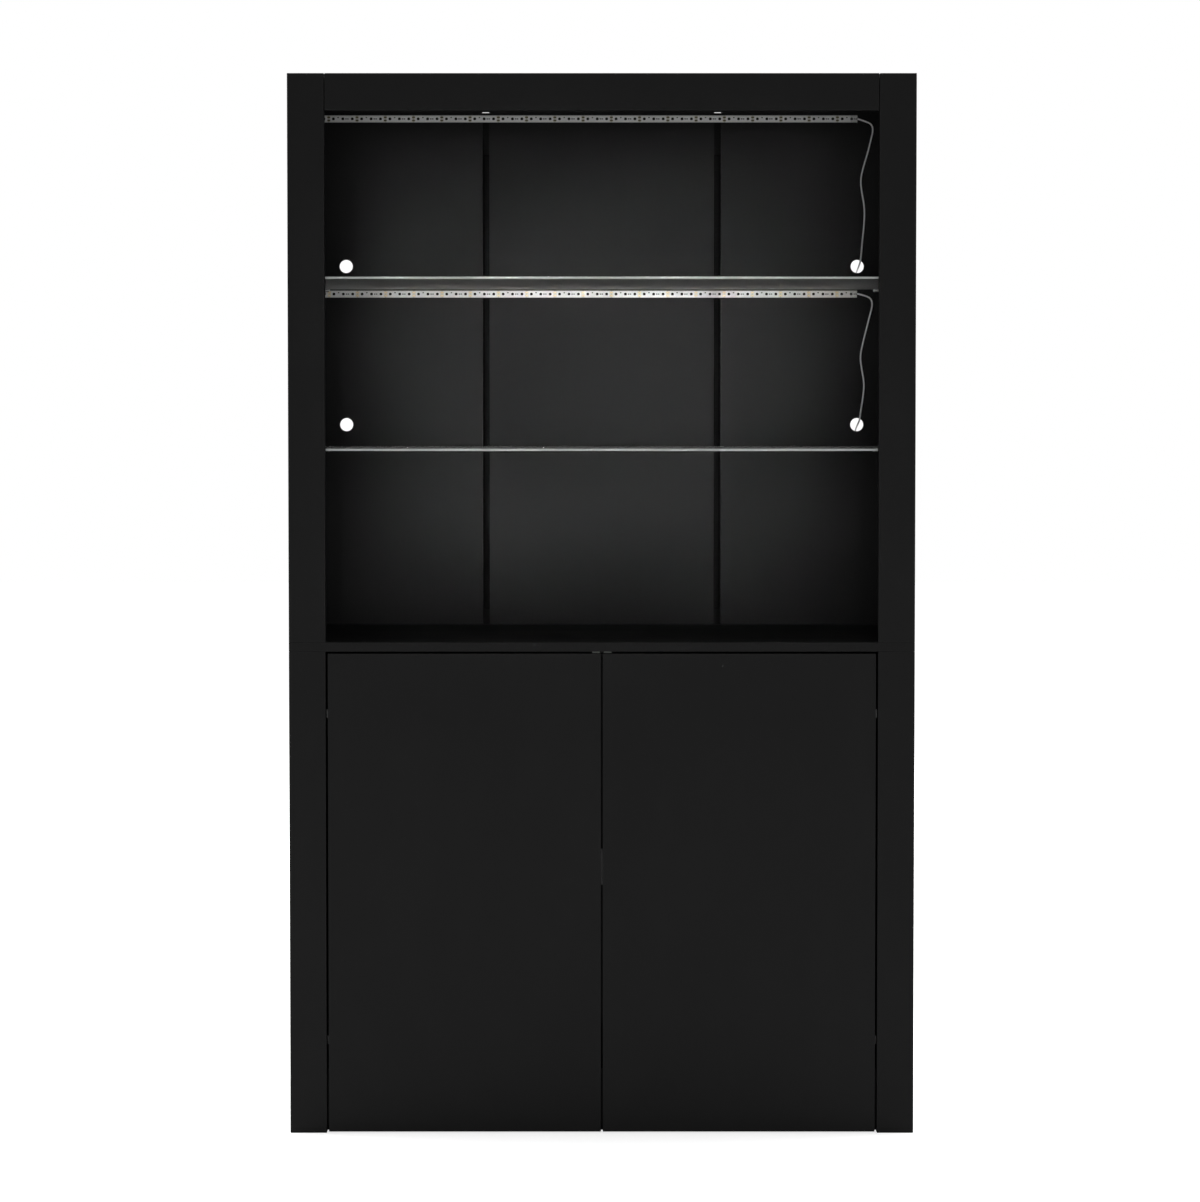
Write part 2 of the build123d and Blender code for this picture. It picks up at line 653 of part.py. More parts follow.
# Leads: from the sleeve, down the back panel, out through the cable hole and down to the floor
lead_routes = {
    "upper_lead": [
        (452.7, 188.6, 1705.0),
        (463.0, 187.8, 1701.6),
        (477.0, 187.2, 1696.3),
        (480.2, 187.0, 1685.2),
        (476.2, 187.2, 1668.5),
        (470.6, 187.4, 1645.0),
        (463.0, 187.2, 1620.5),
        (457.6, 187.0, 1597.5),
        (460.6, 187.4, 1573.0),
        (465.6, 187.6, 1548.0),
        (464.6, 187.2, 1518.0),
        (461.4, 186.6, 1490.0),
        (459.8, 185.8, 1470.0),
        (458.2, 185.8, 1453.5),
        (456.2, 191.2, 1446.5),
        (454.2, 196.8, 1440.6),
        (451.6, 202.4, 1432.0),
        (448.6, 203.4, 1416.0),
        (444.6, 203.0, 1390.0),
        (440.2, 202.4, 1352.0),
        (436.8, 201.9, 1305.0),
        (434.4, 202.3, 1250.0),
        (432.4, 202.9, 1192.0),
        (431.0, 203.3, 1134.0),
        (430.2, 203.2, 1077.0),
        (430.0, 202.8, 1019.0),
        (429.4, 202.2, 962.0),
        (428.0, 201.9, 904.0),
        (425.8, 202.3, 846.0),
        (423.0, 202.8, 789.0),
        (420.2, 203.2, 731.0),
        (417.8, 203.0, 674.0),
        (416.0, 202.5, 616.0),
        (414.8, 202.1, 559.0),
        (413.8, 202.3, 501.0),
        (412.6, 202.7, 444.0),
        (410.9, 203.1, 386.0),
        (408.8, 203.2, 329.0),
        (406.6, 203.0, 271.0),
        (404.6, 202.7, 214.0),
        (403.2, 202.8, 158.0),
        (402.4, 203.4, 106.0),
        (402.1, 205.2, 66.0),
        (402.0, 210.0, 37.0),
        (402.0, 219.0, 14.5),
        (402.1, 227.6, 4.6),
        (402.0, 236.0, 1.7),
    ],
    "lower_lead": [
        (452.7, 188.6, 1396.3),
        (464.0, 187.8, 1393.8),
        (477.4, 187.2, 1388.4),
        (480.0, 187.0, 1375.6),
        (475.0, 187.2, 1357.5),
        (469.0, 187.4, 1333.0),
        (462.6, 187.2, 1308.0),
        (457.8, 187.0, 1284.5),
        (461.4, 187.4, 1261.0),
        (465.8, 187.6, 1237.0),
        (463.4, 187.0, 1212.0),
        (460.0, 186.2, 1192.0),
        (457.8, 185.8, 1173.4),
        (455.2, 191.2, 1166.2),
        (452.8, 196.8, 1160.3),
        (450.6, 202.4, 1151.6),
        (450.2, 203.6, 1135.0),
        (451.2, 203.2, 1108.0),
        (453.6, 202.6, 1068.0),
        (456.4, 202.0, 1020.0),
        (459.4, 202.4, 965.0),
        (462.0, 202.9, 908.0),
        (463.8, 203.3, 850.0),
        (465.0, 203.1, 793.0),
        (465.8, 202.6, 735.0),
        (466.8, 202.1, 677.0),
        (468.4, 202.4, 619.0),
        (470.6, 202.8, 562.0),
        (472.8, 203.2, 504.0),
        (474.6, 203.0, 446.0),
        (475.6, 202.5, 388.0),
        (476.0, 202.2, 331.0),
        (476.2, 202.5, 273.0),
        (476.6, 202.9, 216.0),
        (477.2, 203.1, 160.0),
        (477.8, 203.6, 108.0),
        (478.0, 205.4, 67.0),
        (478.1, 210.2, 37.5),
        (478.0, 219.2, 14.8),
        (478.1, 227.8, 4.7),
        (478.0, 236.0, 1.7),
    ],
}
coil_layers = {"upper_lead": 2, "lower_lead": 3}


def corner_radii(points):
    """The largest even bend at each corner of a route: 0.45 of the shorter run each side."""
    radii = []
    for before, corner, after in zip(points, points[1:], points[2:]):
        arrive = Vector(*corner) - Vector(*before)
        leave = Vector(*after) - Vector(*corner)
        turn = arrive.get_angle(leave)
        radii.append(0.45 * min(arrive.length, leave.length) / tan(radians(turn / 2)))
    return radii


for name, route in lead_routes.items():
    radii = corner_radii(route)
    print(name, "bend radii", [round(radius) for radius in radii])
    with BuildPart() as lead:
        with BuildLine() as path:
            FilletPolyline(*route, radius=radii)
        with BuildSketch(Plane(route[0], z_dir=Vector(*route[1]) - Vector(*route[0]))):
            Circle(lead_radius)
        sweep(path=path.line)
    length = path.wire().length
    section = pi * lead_radius**2
    print(name, "length", round(length, 1), "volume ratio", round(lead.part.volume / section / length, 4))
    save(lead, name)

    # The put-away length is wound in a flat coil behind the cabinet, and ends in a round plug
    centre_x = route[-1][0] - coil_mid_radius
    with BuildPart() as lead_coil:
        with BuildSketch(Plane((centre_x, coil_centre_y, 0))) as band:
            Circle(coil_mid_radius + coil_half_band)
            Circle(coil_mid_radius - coil_half_band, mode=Mode.SUBTRACT)
        extrude(band.sketch, amount=coil_layers[name] * 2 * lead_radius)
    save(lead_coil, f"{name}_coil")
    plug_start_y = coil_centre_y + coil_mid_radius + lead_radius
    plug_start = Vector(centre_x + plug_start_x, plug_start_y, plug_body_radius + plug_lift)
    with BuildPart() as plug:
        with BuildSketch(Plane(plug_start, x_dir=Vector(-1, 0, 0), z_dir=Vector(0, 1, 0))) as half_section:
            with BuildLine():
                Polyline(
                    (0, 0), (0, 2.2), (13.0, 3.6), (13.0, plug_body_radius - 0.6), (13.6, plug_body_radius),
                    (35.4, plug_body_radius), (36.0, plug_body_radius - 0.6), (36.0, 2.75), (45.0, 2.75),
                    (45.5, 2.25), (45.5, 0), (0, 0),
                )
            make_face()
        revolve(axis=Axis(plug_start, (-1, 0, 0)))
    save(plug, f"{name}_plug")
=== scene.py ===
# A tall two-part display cabinet: an open, lit bay with glass shelves on a two-door cupboard
import math

import bpy
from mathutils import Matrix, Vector


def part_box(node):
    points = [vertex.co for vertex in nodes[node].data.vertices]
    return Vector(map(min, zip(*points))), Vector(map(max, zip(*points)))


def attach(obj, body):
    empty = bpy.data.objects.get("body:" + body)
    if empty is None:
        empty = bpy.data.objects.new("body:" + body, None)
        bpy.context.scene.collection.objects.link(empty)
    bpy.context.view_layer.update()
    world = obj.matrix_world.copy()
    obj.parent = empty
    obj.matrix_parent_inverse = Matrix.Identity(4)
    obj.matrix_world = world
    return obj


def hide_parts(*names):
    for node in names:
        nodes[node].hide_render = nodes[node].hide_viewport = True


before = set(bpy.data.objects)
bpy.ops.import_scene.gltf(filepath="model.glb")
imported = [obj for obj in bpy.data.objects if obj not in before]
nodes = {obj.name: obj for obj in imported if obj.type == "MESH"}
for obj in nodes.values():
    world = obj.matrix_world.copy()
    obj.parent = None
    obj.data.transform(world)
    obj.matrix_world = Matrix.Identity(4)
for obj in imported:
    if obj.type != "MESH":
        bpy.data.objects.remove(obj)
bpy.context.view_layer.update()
scene = bpy.context.scene
bpy.ops.object.select_all(action="DESELECT")
print("frame loaded with", len(nodes), "nodes")

# Camera: straight ahead of the cabinet, looking slightly down, with a small lens shift
cameraPlan = {
    "place": (-0.003, -4.7429, 1.1771),
    "tiltDown": 1.802,  # degrees
    "lens": 83.18,
    "shift": -0.08,
    "reach": 100,
}
bpy.ops.object.camera_add(
    location=cameraPlan["place"], rotation=(math.radians(90 - cameraPlan["tiltDown"]), 0, 0)
)
camera = bpy.context.object
camera.data.lens = cameraPlan["lens"]
camera.data.shift_y = cameraPlan["shift"]
camera.data.clip_end = cameraPlan["reach"]
scene.camera = camera
scene.view_settings.view_transform = "Standard"
print("camera placed")

# Leads: from the end of each lighting strip to the floor behind the cabinet
leadPlan = {
    "upper_lead": {
        "route": [
            (0.4527, 0.1886, 1.7050), (0.4630, 0.1878, 1.7016), (0.4770, 0.1872, 1.6963),
            (0.4802, 0.1870, 1.6852), (0.4762, 0.1872, 1.6685), (0.4706, 0.1874, 1.6450),
            (0.4630, 0.1872, 1.6205), (0.4576, 0.1870, 1.5975), (0.4606, 0.1874, 1.5730),
            (0.4656, 0.1876, 1.5480), (0.4646, 0.1872, 1.5180), (0.4614, 0.1866, 1.4900),
            (0.4598, 0.1858, 1.4700), (0.4582, 0.1858, 1.4535), (0.4562, 0.1912, 1.4465),
            (0.4542, 0.1968, 1.4406), (0.4516, 0.2024, 1.4320), (0.4486, 0.2034, 1.4160),
            (0.4446, 0.2030, 1.3900), (0.4402, 0.2024, 1.3520), (0.4368, 0.2019, 1.3050),
            (0.4344, 0.2023, 1.2500), (0.4324, 0.2029, 1.1920), (0.4310, 0.2033, 1.1340),
            (0.4302, 0.2032, 1.0770), (0.4300, 0.2028, 1.0190), (0.4294, 0.2022, 0.9620),
            (0.4280, 0.2019, 0.9040), (0.4258, 0.2023, 0.8460), (0.4230, 0.2028, 0.7890),
            (0.4202, 0.2032, 0.7310), (0.4178, 0.2030, 0.6740), (0.4160, 0.2025, 0.6160),
            (0.4148, 0.2021, 0.5590), (0.4138, 0.2023, 0.5010), (0.4126, 0.2027, 0.4440),
            (0.4109, 0.2031, 0.3860), (0.4088, 0.2032, 0.3290), (0.4066, 0.2030, 0.2710),
            (0.4046, 0.2027, 0.2140), (0.4032, 0.2028, 0.1580), (0.4024, 0.2034, 0.1060),
            (0.4021, 0.2052, 0.0660), (0.4020, 0.2100, 0.0370), (0.4020, 0.2190, 0.0145),
            (0.4021, 0.2276, 0.0046), (0.4020, 0.2360, 0.0017),
        ],
        "centre": (0.385, 0.243),
        # radius and height of each turn
        "turns": [(0.0185, 0.0016), (0.0155, 0.0016), (0.0172, 0.0046)],
    },
    "lower_lead": {
        "route": [
            (0.4527, 0.1886, 1.3963), (0.4640, 0.1878, 1.3938), (0.4774, 0.1872, 1.3884),
            (0.4800, 0.1870, 1.3756), (0.4750, 0.1872, 1.3575), (0.4690, 0.1874, 1.3330),
            (0.4626, 0.1872, 1.3080), (0.4578, 0.1870, 1.2845), (0.4614, 0.1874, 1.2610),
            (0.4658, 0.1876, 1.2370), (0.4634, 0.1870, 1.2120), (0.4600, 0.1862, 1.1920),
            (0.4578, 0.1858, 1.1734), (0.4552, 0.1912, 1.1662), (0.4528, 0.1968, 1.1603),
            (0.4506, 0.2024, 1.1516), (0.4502, 0.2036, 1.1350), (0.4512, 0.2032, 1.1080),
            (0.4536, 0.2026, 1.0680), (0.4564, 0.2020, 1.0200), (0.4594, 0.2024, 0.9650),
            (0.4620, 0.2029, 0.9080), (0.4638, 0.2033, 0.8500), (0.4650, 0.2031, 0.7930),
            (0.4658, 0.2026, 0.7350), (0.4668, 0.2021, 0.6770), (0.4684, 0.2024, 0.6190),
            (0.4706, 0.2028, 0.5620), (0.4728, 0.2032, 0.5040), (0.4746, 0.2030, 0.4460),
            (0.4756, 0.2025, 0.3880), (0.4760, 0.2022, 0.3310), (0.4762, 0.2025, 0.2730),
            (0.4766, 0.2029, 0.2160), (0.4772, 0.2031, 0.1600), (0.4778, 0.2036, 0.1080),
            (0.4780, 0.2054, 0.0670), (0.4781, 0.2102, 0.0375), (0.4780, 0.2192, 0.0148),
            (0.4781, 0.2278, 0.0047), (0.4780, 0.2360, 0.0017),
        ],
        "centre": (0.461, 0.243),
        "turns": [
            (0.0185, 0.0016), (0.0155, 0.0016), (0.0140, 0.0045), (0.0171, 0.0045),
            (0.0156, 0.0073), (0.0172, 0.0074),
        ],
    },
}
leadShape = {
    "radius": 0.0015,
    "length": 2.0,
    "splineSteps": 6,
    "sideSteps": 3,
    "pointsPerTurn": 16,
    "startAngle": -22.5,  # degrees round the coil where the first turn begins
    "stopAngle": 90,
    "crossOver": 75,  # degrees in which one turn moves over to the next
    "drawIn": 0.985,  # the line runs this much inside its control points on a turn
    "plugBack": 0.0075,  # the plug starts this far past the coil's centre
    "plugSide": 0.0185,  # and this far behind it
    "plugHeight": 0.00485,  # height of the plug's axis
    # the last points before the plug: along, aside, and share of the way to the plug's height
    "approach": [(0.002, 0.0003, 0.0), (-0.004, 0.0, 0.5), (-0.0075, 0.0, 1.0), (-0.0105, 0.0, 1.0)],
}


def coilPoints(plan):
    # The put-away turns on the floor, then the short run to the plug
    centreX, centreY = plan["centre"]
    turns = plan["turns"]
    step = 360 / leadShape["pointsPerTurn"]
    stopAngle = 360 * (len(turns) - 1) + leadShape["stopAngle"] - leadShape["startAngle"]
    points = []
    angle = step
    while angle < stopAngle - step / 2:
        turn = min(int(angle // 360), len(turns) - 1)
        radius, height = turns[turn]
        left = 360 * (turn + 1) - angle
        if turn + 1 < len(turns) and left < leadShape["crossOver"]:
            share = 1 - left / leadShape["crossOver"]
            share = share * share * (3 - 2 * share)  # eased in and out
            nextRadius, nextHeight = turns[turn + 1]
            radius += (nextRadius - radius) * share
            height += (nextHeight - height) * share
        turned = math.radians(leadShape["startAngle"] + angle)
        radius /= leadShape["drawIn"]
        points.append((centreX + radius * math.cos(turned), centreY + radius * math.sin(turned), height))
        angle += step
    topHeight = turns[-1][1]
    climb = leadShape["plugHeight"] - topHeight
    for along, aside, share in leadShape["approach"]:
        points.append((centreX + along, centreY + leadShape["plugSide"] + aside, topHeight + climb * share))
    return points


leads = {}
for name, plan in leadPlan.items():
    curve = bpy.data.curves.new(name + "_cord", "CURVE")
    curve.dimensions = "3D"
    points = plan["route"] + coilPoints(plan)
    spline = curve.splines.new("NURBS")
    spline.points.add(len(points) - 1)
    for point, place in zip(spline.points, points):
        point.co = (*place, 1)
    spline.order_u = 3
    spline.use_endpoint_u = True
    curve.resolution_u = leadShape["splineSteps"]
    curve.bevel_depth = leadShape["radius"]
    curve.bevel_resolution = leadShape["sideSteps"]
    curve.use_fill_caps = True
    lead = bpy.data.objects.new(name + "_cord", curve)
    scene.collection.objects.link(lead)
    leads[name] = lead
print("leads laid")


# Modelling helpers
def deselectAll():
    if bpy.context.object and bpy.context.object.mode == "EDIT":
        bpy.ops.object.mode_set(mode="OBJECT")
    bpy.ops.object.select_all(action="DESELECT")


def settle(name):
    # Back to object mode, with the place and turn put into the mesh
    bpy.ops.object.mode_set(mode="OBJECT")
    piece = bpy.context.object
    piece.name = piece.data.name = name
    bpy.ops.object.transform_apply(location=True, rotation=True, scale=True)
    return piece


def pickFaces(piece, wanted):
    # Selects the faces for which wanted(centre, normal) is true
    bpy.ops.mesh.select_all(action="DESELECT")
    bpy.ops.object.mode_set(mode="OBJECT")
    for face in piece.data.polygons:
        face.select = wanted(piece.matrix_world @ face.center, face.normal)
    bpy.ops.object.mode_set(mode="EDIT")
    bpy.ops.mesh.select_mode(type="FACE")


def isFront(centre, normal):
    return normal.y < -0.99


def startBox(low, high):
    # A box between two corners, open in edit mode
    deselectAll()
    low, high = Vector(low), Vector(high)
    bpy.ops.mesh.primitive_cube_add(size=1, location=(low + high) / 2, scale=high - low)
    bpy.ops.object.transform_apply(location=False, rotation=False, scale=True)
    bpy.ops.object.mode_set(mode="EDIT")
    return bpy.context.object


def roundAll(size):
    # Rounds every edge of the piece that is open in edit mode
    bpy.ops.mesh.select_all(action="SELECT")
    bpy.ops.mesh.bevel(offset=size, segments=2, affect="EDGES")


def pull(step):
    # Draws the chosen faces out along Y
    bpy.ops.mesh.extrude_region_move(TRANSFORM_OT_translate={"value": (0, step, 0)})


def repeat(piece, pitch, count):
    array = piece.modifiers.new("pitch", "ARRAY")
    array.use_relative_offset = False
    array.use_constant_offset = True
    array.constant_offset_displace = (pitch, 0, 0)
    array.count = count
    bpy.ops.object.modifier_apply(modifier=array.name)


def joinPieces(pieces, name):
    deselectAll()
    for piece in pieces:
        piece.select_set(True)
    bpy.context.view_layer.objects.active = pieces[0]
    bpy.ops.object.join()
    joined = bpy.context.object
    joined.name = joined.data.name = name
    return joined


def turnedPiece(name, start, stations, sides):
    # A round piece drawn out towards -X: its first radius is at start, then (advance, radius)
    deselectAll()
    first = stations[0][1]
    bpy.ops.mesh.primitive_circle_add(
        vertices=sides, radius=first, fill_type="NGON", location=start, rotation=(0, math.radians(-90), 0)
    )
    bpy.ops.object.transform_apply(location=False, rotation=True, scale=False)
    bpy.ops.object.mode_set(mode="EDIT")
    bpy.ops.mesh.select_all(action="SELECT")
    along, radius = 0, first
    for advance, nextRadius in stations[1:]:
        bpy.ops.mesh.extrude_region_move(TRANSFORM_OT_translate={"value": (along - advance, 0, 0)})
        size = nextRadius / radius
        centre = (start[0] - advance, start[1], start[2])
        bpy.ops.transform.resize(value=(1, size, size), center_override=centre)
        along, radius = advance, nextRadius
    bpy.ops.mesh.select_all(action="SELECT")
    bpy.ops.mesh.normals_make_consistent(inside=False)
    return settle(name)


# Lighting strips: cutting marks along each, with three diodes between two marks
stripPlan = {
    "nodes": {"upper": "led_strip_upper", "lower": "led_strip_lower"},
    "firstMark": -0.4829,
    "pitch": 0.05,
    "segments": 19,
    "diodePitch": 0.05 / 3,
    "diodes": 57,
}
firstDiode = stripPlan["firstMark"] - stripPlan["diodePitch"] / 2

# White housing with a shallow square well
housingPlan = {"half": 0.0029, "thick": 0.0015, "edgeRound": 0.0003, "rim": 0.00025, "well": 0.0003}


def makeHousings(word, frontY, midZ):
    half, thick = housingPlan["half"], housingPlan["thick"]
    low = (firstDiode - half, frontY - thick, midZ - half)
    high = (firstDiode + half, frontY, midZ + half)
    housing = startBox(low, high)
    roundAll(housingPlan["edgeRound"])
    pickFaces(housing, isFront)
    bpy.ops.mesh.inset(thickness=housingPlan["rim"])
    pull(housingPlan["well"])
    housing = settle("diode_housings_" + word)
    repeat(housing, stripPlan["diodePitch"], stripPlan["diodes"])
    return housing


# Round resin window that fills the well
windowPlan = {"sides": 20, "radius": 0.0026, "thick": 0.0006, "setBack": 0.0004, "edgeRound": 0.0002}


def makeWindows(word, frontY, midZ):
    deselectAll()
    bpy.ops.mesh.primitive_cylinder_add(
        vertices=windowPlan["sides"], radius=windowPlan["radius"], depth=windowPlan["thick"],
        location=(firstDiode, frontY - housingPlan["thick"] + windowPlan["setBack"], midZ),
        rotation=(math.radians(90), 0, 0),
    )
    bpy.ops.object.transform_apply(location=False, rotation=True, scale=False)
    window = bpy.context.object
    bpy.ops.object.mode_set(mode="EDIT")
    pickFaces(window, isFront)
    bpy.ops.mesh.bevel(offset=windowPlan["edgeRound"], segments=2, affect="EDGES")
    window = settle("diode_windows_" + word)
    repeat(window, stripPlan["diodePitch"], stripPlan["diodes"])
    return window


# Small chips between the diodes, each with a raised middle between two end caps
chipPlan = {
    "at": {"single": (0.0166, 0.0024), "left": (0.0305, 0.0), "right": (0.0339, 0.0)},  # from a mark
    "half": (0.0012, 0.0009),
    "thick": 0.0005,
    "middleHalf": 0.0005,
    "middleRise": 0.00008,
}


def makeChips(word, frontY, midZ):
    chips = []
    halfX, halfZ = chipPlan["half"]
    middle = chipPlan["middleHalf"]
    for label, (along, rise) in chipPlan["at"].items():
        x, z = stripPlan["firstMark"] + along, midZ + rise
        chip = startBox((x - halfX, frontY - chipPlan["thick"], z - halfZ), (x + halfX, frontY, z + halfZ))
        for cut in (x - middle, x + middle):
            bpy.ops.mesh.select_all(action="SELECT")
            bpy.ops.mesh.bisect(plane_co=(cut, 0, 0), plane_no=(1, 0, 0))
        pickFaces(chip, lambda centre, normal: isFront(centre, normal) and abs(centre.x - x) < middle)
        pull(-chipPlan["middleRise"])
        chip = settle("chip_" + label)
        repeat(chip, stripPlan["pitch"], stripPlan["segments"])
        chips.append(chip)
    return joinPieces(chips, "strip_chips_" + word)


# Two low, round-cornered solder pads at each cutting mark
padPlan = {
    "rise": (0.0027, -0.0027),
    "half": (0.0025, 0.0015),
    "thick": 0.00012,
    "corner": 0.0009,
    "rim": 0.0003,
    "crown": 0.0001,
}


def makePads(word, frontY, midZ):
    pads = []
    halfX, halfZ = padPlan["half"]
    x, thick = stripPlan["firstMark"], padPlan["thick"]
    for rise in padPlan["rise"]:
        z = midZ + rise
        pad = startBox((x - halfX, frontY - thick, z - halfZ), (x + halfX, frontY, z + halfZ))
        bpy.ops.mesh.select_all(action="DESELECT")
        bpy.ops.object.mode_set(mode="OBJECT")
        for edge in pad.data.edges:  # only the four short edges through the thickness
            first, second = (pad.data.vertices[i].co for i in edge.vertices)
            edge.select = abs(first.y - second.y) > thick / 2
        bpy.ops.object.mode_set(mode="EDIT")
        bpy.ops.mesh.select_mode(type="EDGE")
        bpy.ops.mesh.bevel(offset=padPlan["corner"], segments=4, affect="EDGES")
        pickFaces(pad, isFront)
        bpy.ops.mesh.inset(thickness=padPlan["rim"])
        bpy.ops.transform.translate(value=(0, -padPlan["crown"], 0))
        pad = settle("pad")
        repeat(pad, stripPlan["pitch"], stripPlan["segments"])
        pads.append(pad)
    return joinPieces(pads, "strip_pads_" + word)


# Two solder joints where the lead is fixed
solderPlan = {
    "inside": 0.0004,  # from the strip's end
    "proud": 0.0004,  # from the strip's face
    "riseShare": 0.45,  # of the pads' rise
    "sides": 12,
    "stations": [(0, 0.0002), (0.0005, 0.0006), (0.0012, 0.0008), (0.0020, 0.0006), (0.0026, 0.0001)],
}


def makeSolder(word, endX, frontY, midZ):
    joints = []
    for rise in padPlan["rise"]:
        z = midZ + rise * solderPlan["riseShare"]
        start = (endX - solderPlan["inside"], frontY - solderPlan["proud"], z)
        joints.append(turnedPiece("solder", start, solderPlan["stations"], solderPlan["sides"]))
    return joinPieces(joints, "solder_joints_" + word)


stripParts = {}
for word, node in stripPlan["nodes"].items():
    low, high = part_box(node)
    frontY, midZ = low.y, (low.z + high.z) / 2
    stripParts[word] = {
        "housings": makeHousings(word, frontY, midZ),
        "windows": makeWindows(word, frontY, midZ),
        "chips": makeChips(word, frontY, midZ),
        "pads": makePads(word, frontY, midZ),
        "solder": makeSolder(word, high.x, frontY, midZ),
    }
print("lighting strips dressed")

# Glass shelves with ground edges
glassPlan = {"nodes": ("glass_shelf_upper", "glass_shelf_lower"), "edgeRound": 0.0005}
shelves = {}
for node in glassPlan["nodes"]:
    startBox(*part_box(node))
    roundAll(glassPlan["edgeRound"])
    shelves[node] = settle(node + "_pane")
print("glass cut")

# Edge tape on the top of the back panels, which closes most of the slit under the top panel
lippingPlan = {
    "panels": ("back_panel_left", "back_panel_middle", "back_panel_right"),
    "thick": 0.00071,
    "setBack": 0.0001,  # from each face of the panel
    "edgeRound": 0.0002,
}
lippings = []
for node in lippingPlan["panels"]:
    low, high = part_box(node)
    front, back = low.y + lippingPlan["setBack"], high.y - lippingPlan["setBack"]
    startBox((low.x, front, high.z), (high.x, back, high.z + lippingPlan["thick"]))
    roundAll(lippingPlan["edgeRound"])
    lippings.append(settle("edge_tape" + node.removeprefix("back_panel")))
print("edge tape laid")

# Small pale caps on the tips of the rear pins at the right only: a painted glint, standing in for the light
# caught by those pin tips
glintCapPlan = {
    "tip": (0.4835, 0.177),
    "drop": 0.0025,  # below the glass
    "sides": 20,
    "stations": [(0, 0.0020), (0.0002, 0.0027), (0.0030, 0.0027), (0.0036, 0.0018), (0.0037, 0.0004)],
}
glintCaps = []
for node in glassPlan["nodes"]:
    start = (*glintCapPlan["tip"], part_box(node)[0].z - glintCapPlan["drop"])
    name = node.replace("glass_shelf", "pin_glint_cap")
    glintCaps.append(turnedPiece(name, start, glintCapPlan["stations"], glintCapPlan["sides"]))
print("pin cushions turned")

# Round low-voltage plugs on the leads, as (advance, radius) from the lead's end
plugPlan = {
    "sides": 28,
    "smoothBelow": 35,  # degrees
    "neck": [(0, 0.0016), (0.0006, 0.0021)],
    "reliefCount": 5,
    "reliefFirst": (0.0016, 0.0022),
    "reliefStep": (0.0023, 0.00026),
    "relief": [(0, 0), (0.0003, -0.0004), (0.0009, -0.0004), (0.0012, 0.0001)],
    "shoulder": [(0.0130, 0.0036), (0.0131, 0.0042), (0.0138, 0.0048)],
    "ribCount": 7,
    "ribFirst": 0.0165,
    "ribStep": 0.0024,
    "rib": [(0, 0.0048), (0.0004, 0.00435), (0.0011, 0.00435), (0.0015, 0.0048)],
    "nose": [(0.0352, 0.0048), (0.0360, 0.0041), (0.0361, 0.0029), (0.0362, 0.0028)],
    "barrel": [  # a core through the body, then the hollow barrel
        (0, 0.0020), (0.0356, 0.0027), (0.0440, 0.0027), (0.0446, 0.0026), (0.0447, 0.0022),
        (0.0455, 0.0021), (0.0455, 0.0013), (0.0380, 0.0012), (0.0379, 0.0002),
    ],
}


def plugStations():
    # Neck, strain relief rings that grow towards the grip, shoulder, grip ribs and nose
    stations = list(plugPlan["neck"])
    for ring in range(plugPlan["reliefCount"]):
        along = plugPlan["reliefFirst"][0] + ring * plugPlan["reliefStep"][0]
        wide = plugPlan["reliefFirst"][1] + ring * plugPlan["reliefStep"][1]
        stations += [(along + advance, wide + change) for advance, change in plugPlan["relief"]]
    stations += plugPlan["shoulder"]
    for rib in range(plugPlan["ribCount"]):
        along = plugPlan["ribFirst"] + rib * plugPlan["ribStep"]
        stations += [(along + advance, radius) for advance, radius in plugPlan["rib"]]
    return stations + plugPlan["nose"]


plugs = {}
for name, plan in leadPlan.items():
    centreX, centreY = plan["centre"]
    start = (centreX - leadShape["plugBack"], centreY + leadShape["plugSide"], leadShape["plugHeight"])
    body = turnedPiece(name + "_plug_body", start, plugStations(), plugPlan["sides"])
    barrel = turnedPiece(name + "_plug_barrel", start, plugPlan["barrel"], plugPlan["sides"])
    for piece in (body, barrel):
        piece.data.shade_smooth()
        deselectAll()
        piece.select_set(True)
        bpy.context.view_layer.objects.active = piece
        bpy.ops.object.shade_smooth_by_angle(angle=math.radians(plugPlan["smoothBelow"]))
    plugs[name] = (body, barrel)
print("plugs turned")


# Shader building blocks
def startGroup(name, takes, gives):
    group = bpy.data.node_groups.new(name, "ShaderNodeTree")
    for label, kind, value in takes:
        socket = group.interface.new_socket(label, in_out="INPUT", socket_type=kind)
        socket.default_value = value
    for label, kind in gives:
        group.interface.new_socket(label, in_out="OUTPUT", socket_type=kind)
    entry = group.nodes.new("NodeGroupInput")
    leave = group.nodes.new("NodeGroupOutput")
    return group, entry.outputs, leave.inputs


def feed(tree, socket, value):
    if isinstance(value, bpy.types.NodeSocket):
        tree.links.new(value, socket)
    else:
        socket.default_value = value


def calc(tree, operation, first, second=0.0, third=None):
    node = tree.nodes.new("ShaderNodeMath")
    node.operation = operation
    feed(tree, node.inputs[0], first)
    feed(tree, node.inputs[1], second)
    if third is not None:
        feed(tree, node.inputs[2], third)
    return node.outputs[0]


def vectorCalc(tree, operation, first, second=(0, 0, 0)):
    node = tree.nodes.new("ShaderNodeVectorMath")
    node.operation = operation
    feed(tree, node.inputs[0], first)
    feed(tree, node.inputs[1], second)
    return node.outputs[0]


def spread(tree, value, source, target=(0.0, 1.0)):
    # Maps the source range smoothly onto the target range
    node = tree.nodes.new("ShaderNodeMapRange")
    node.interpolation_type = "SMOOTHSTEP"
    feed(tree, node.inputs["Value"], value)
    feed(tree, node.inputs["From Min"], source[0])
    feed(tree, node.inputs["From Max"], source[1])
    feed(tree, node.inputs["To Min"], target[0])
    feed(tree, node.inputs["To Max"], target[1])
    return node.outputs["Result"]


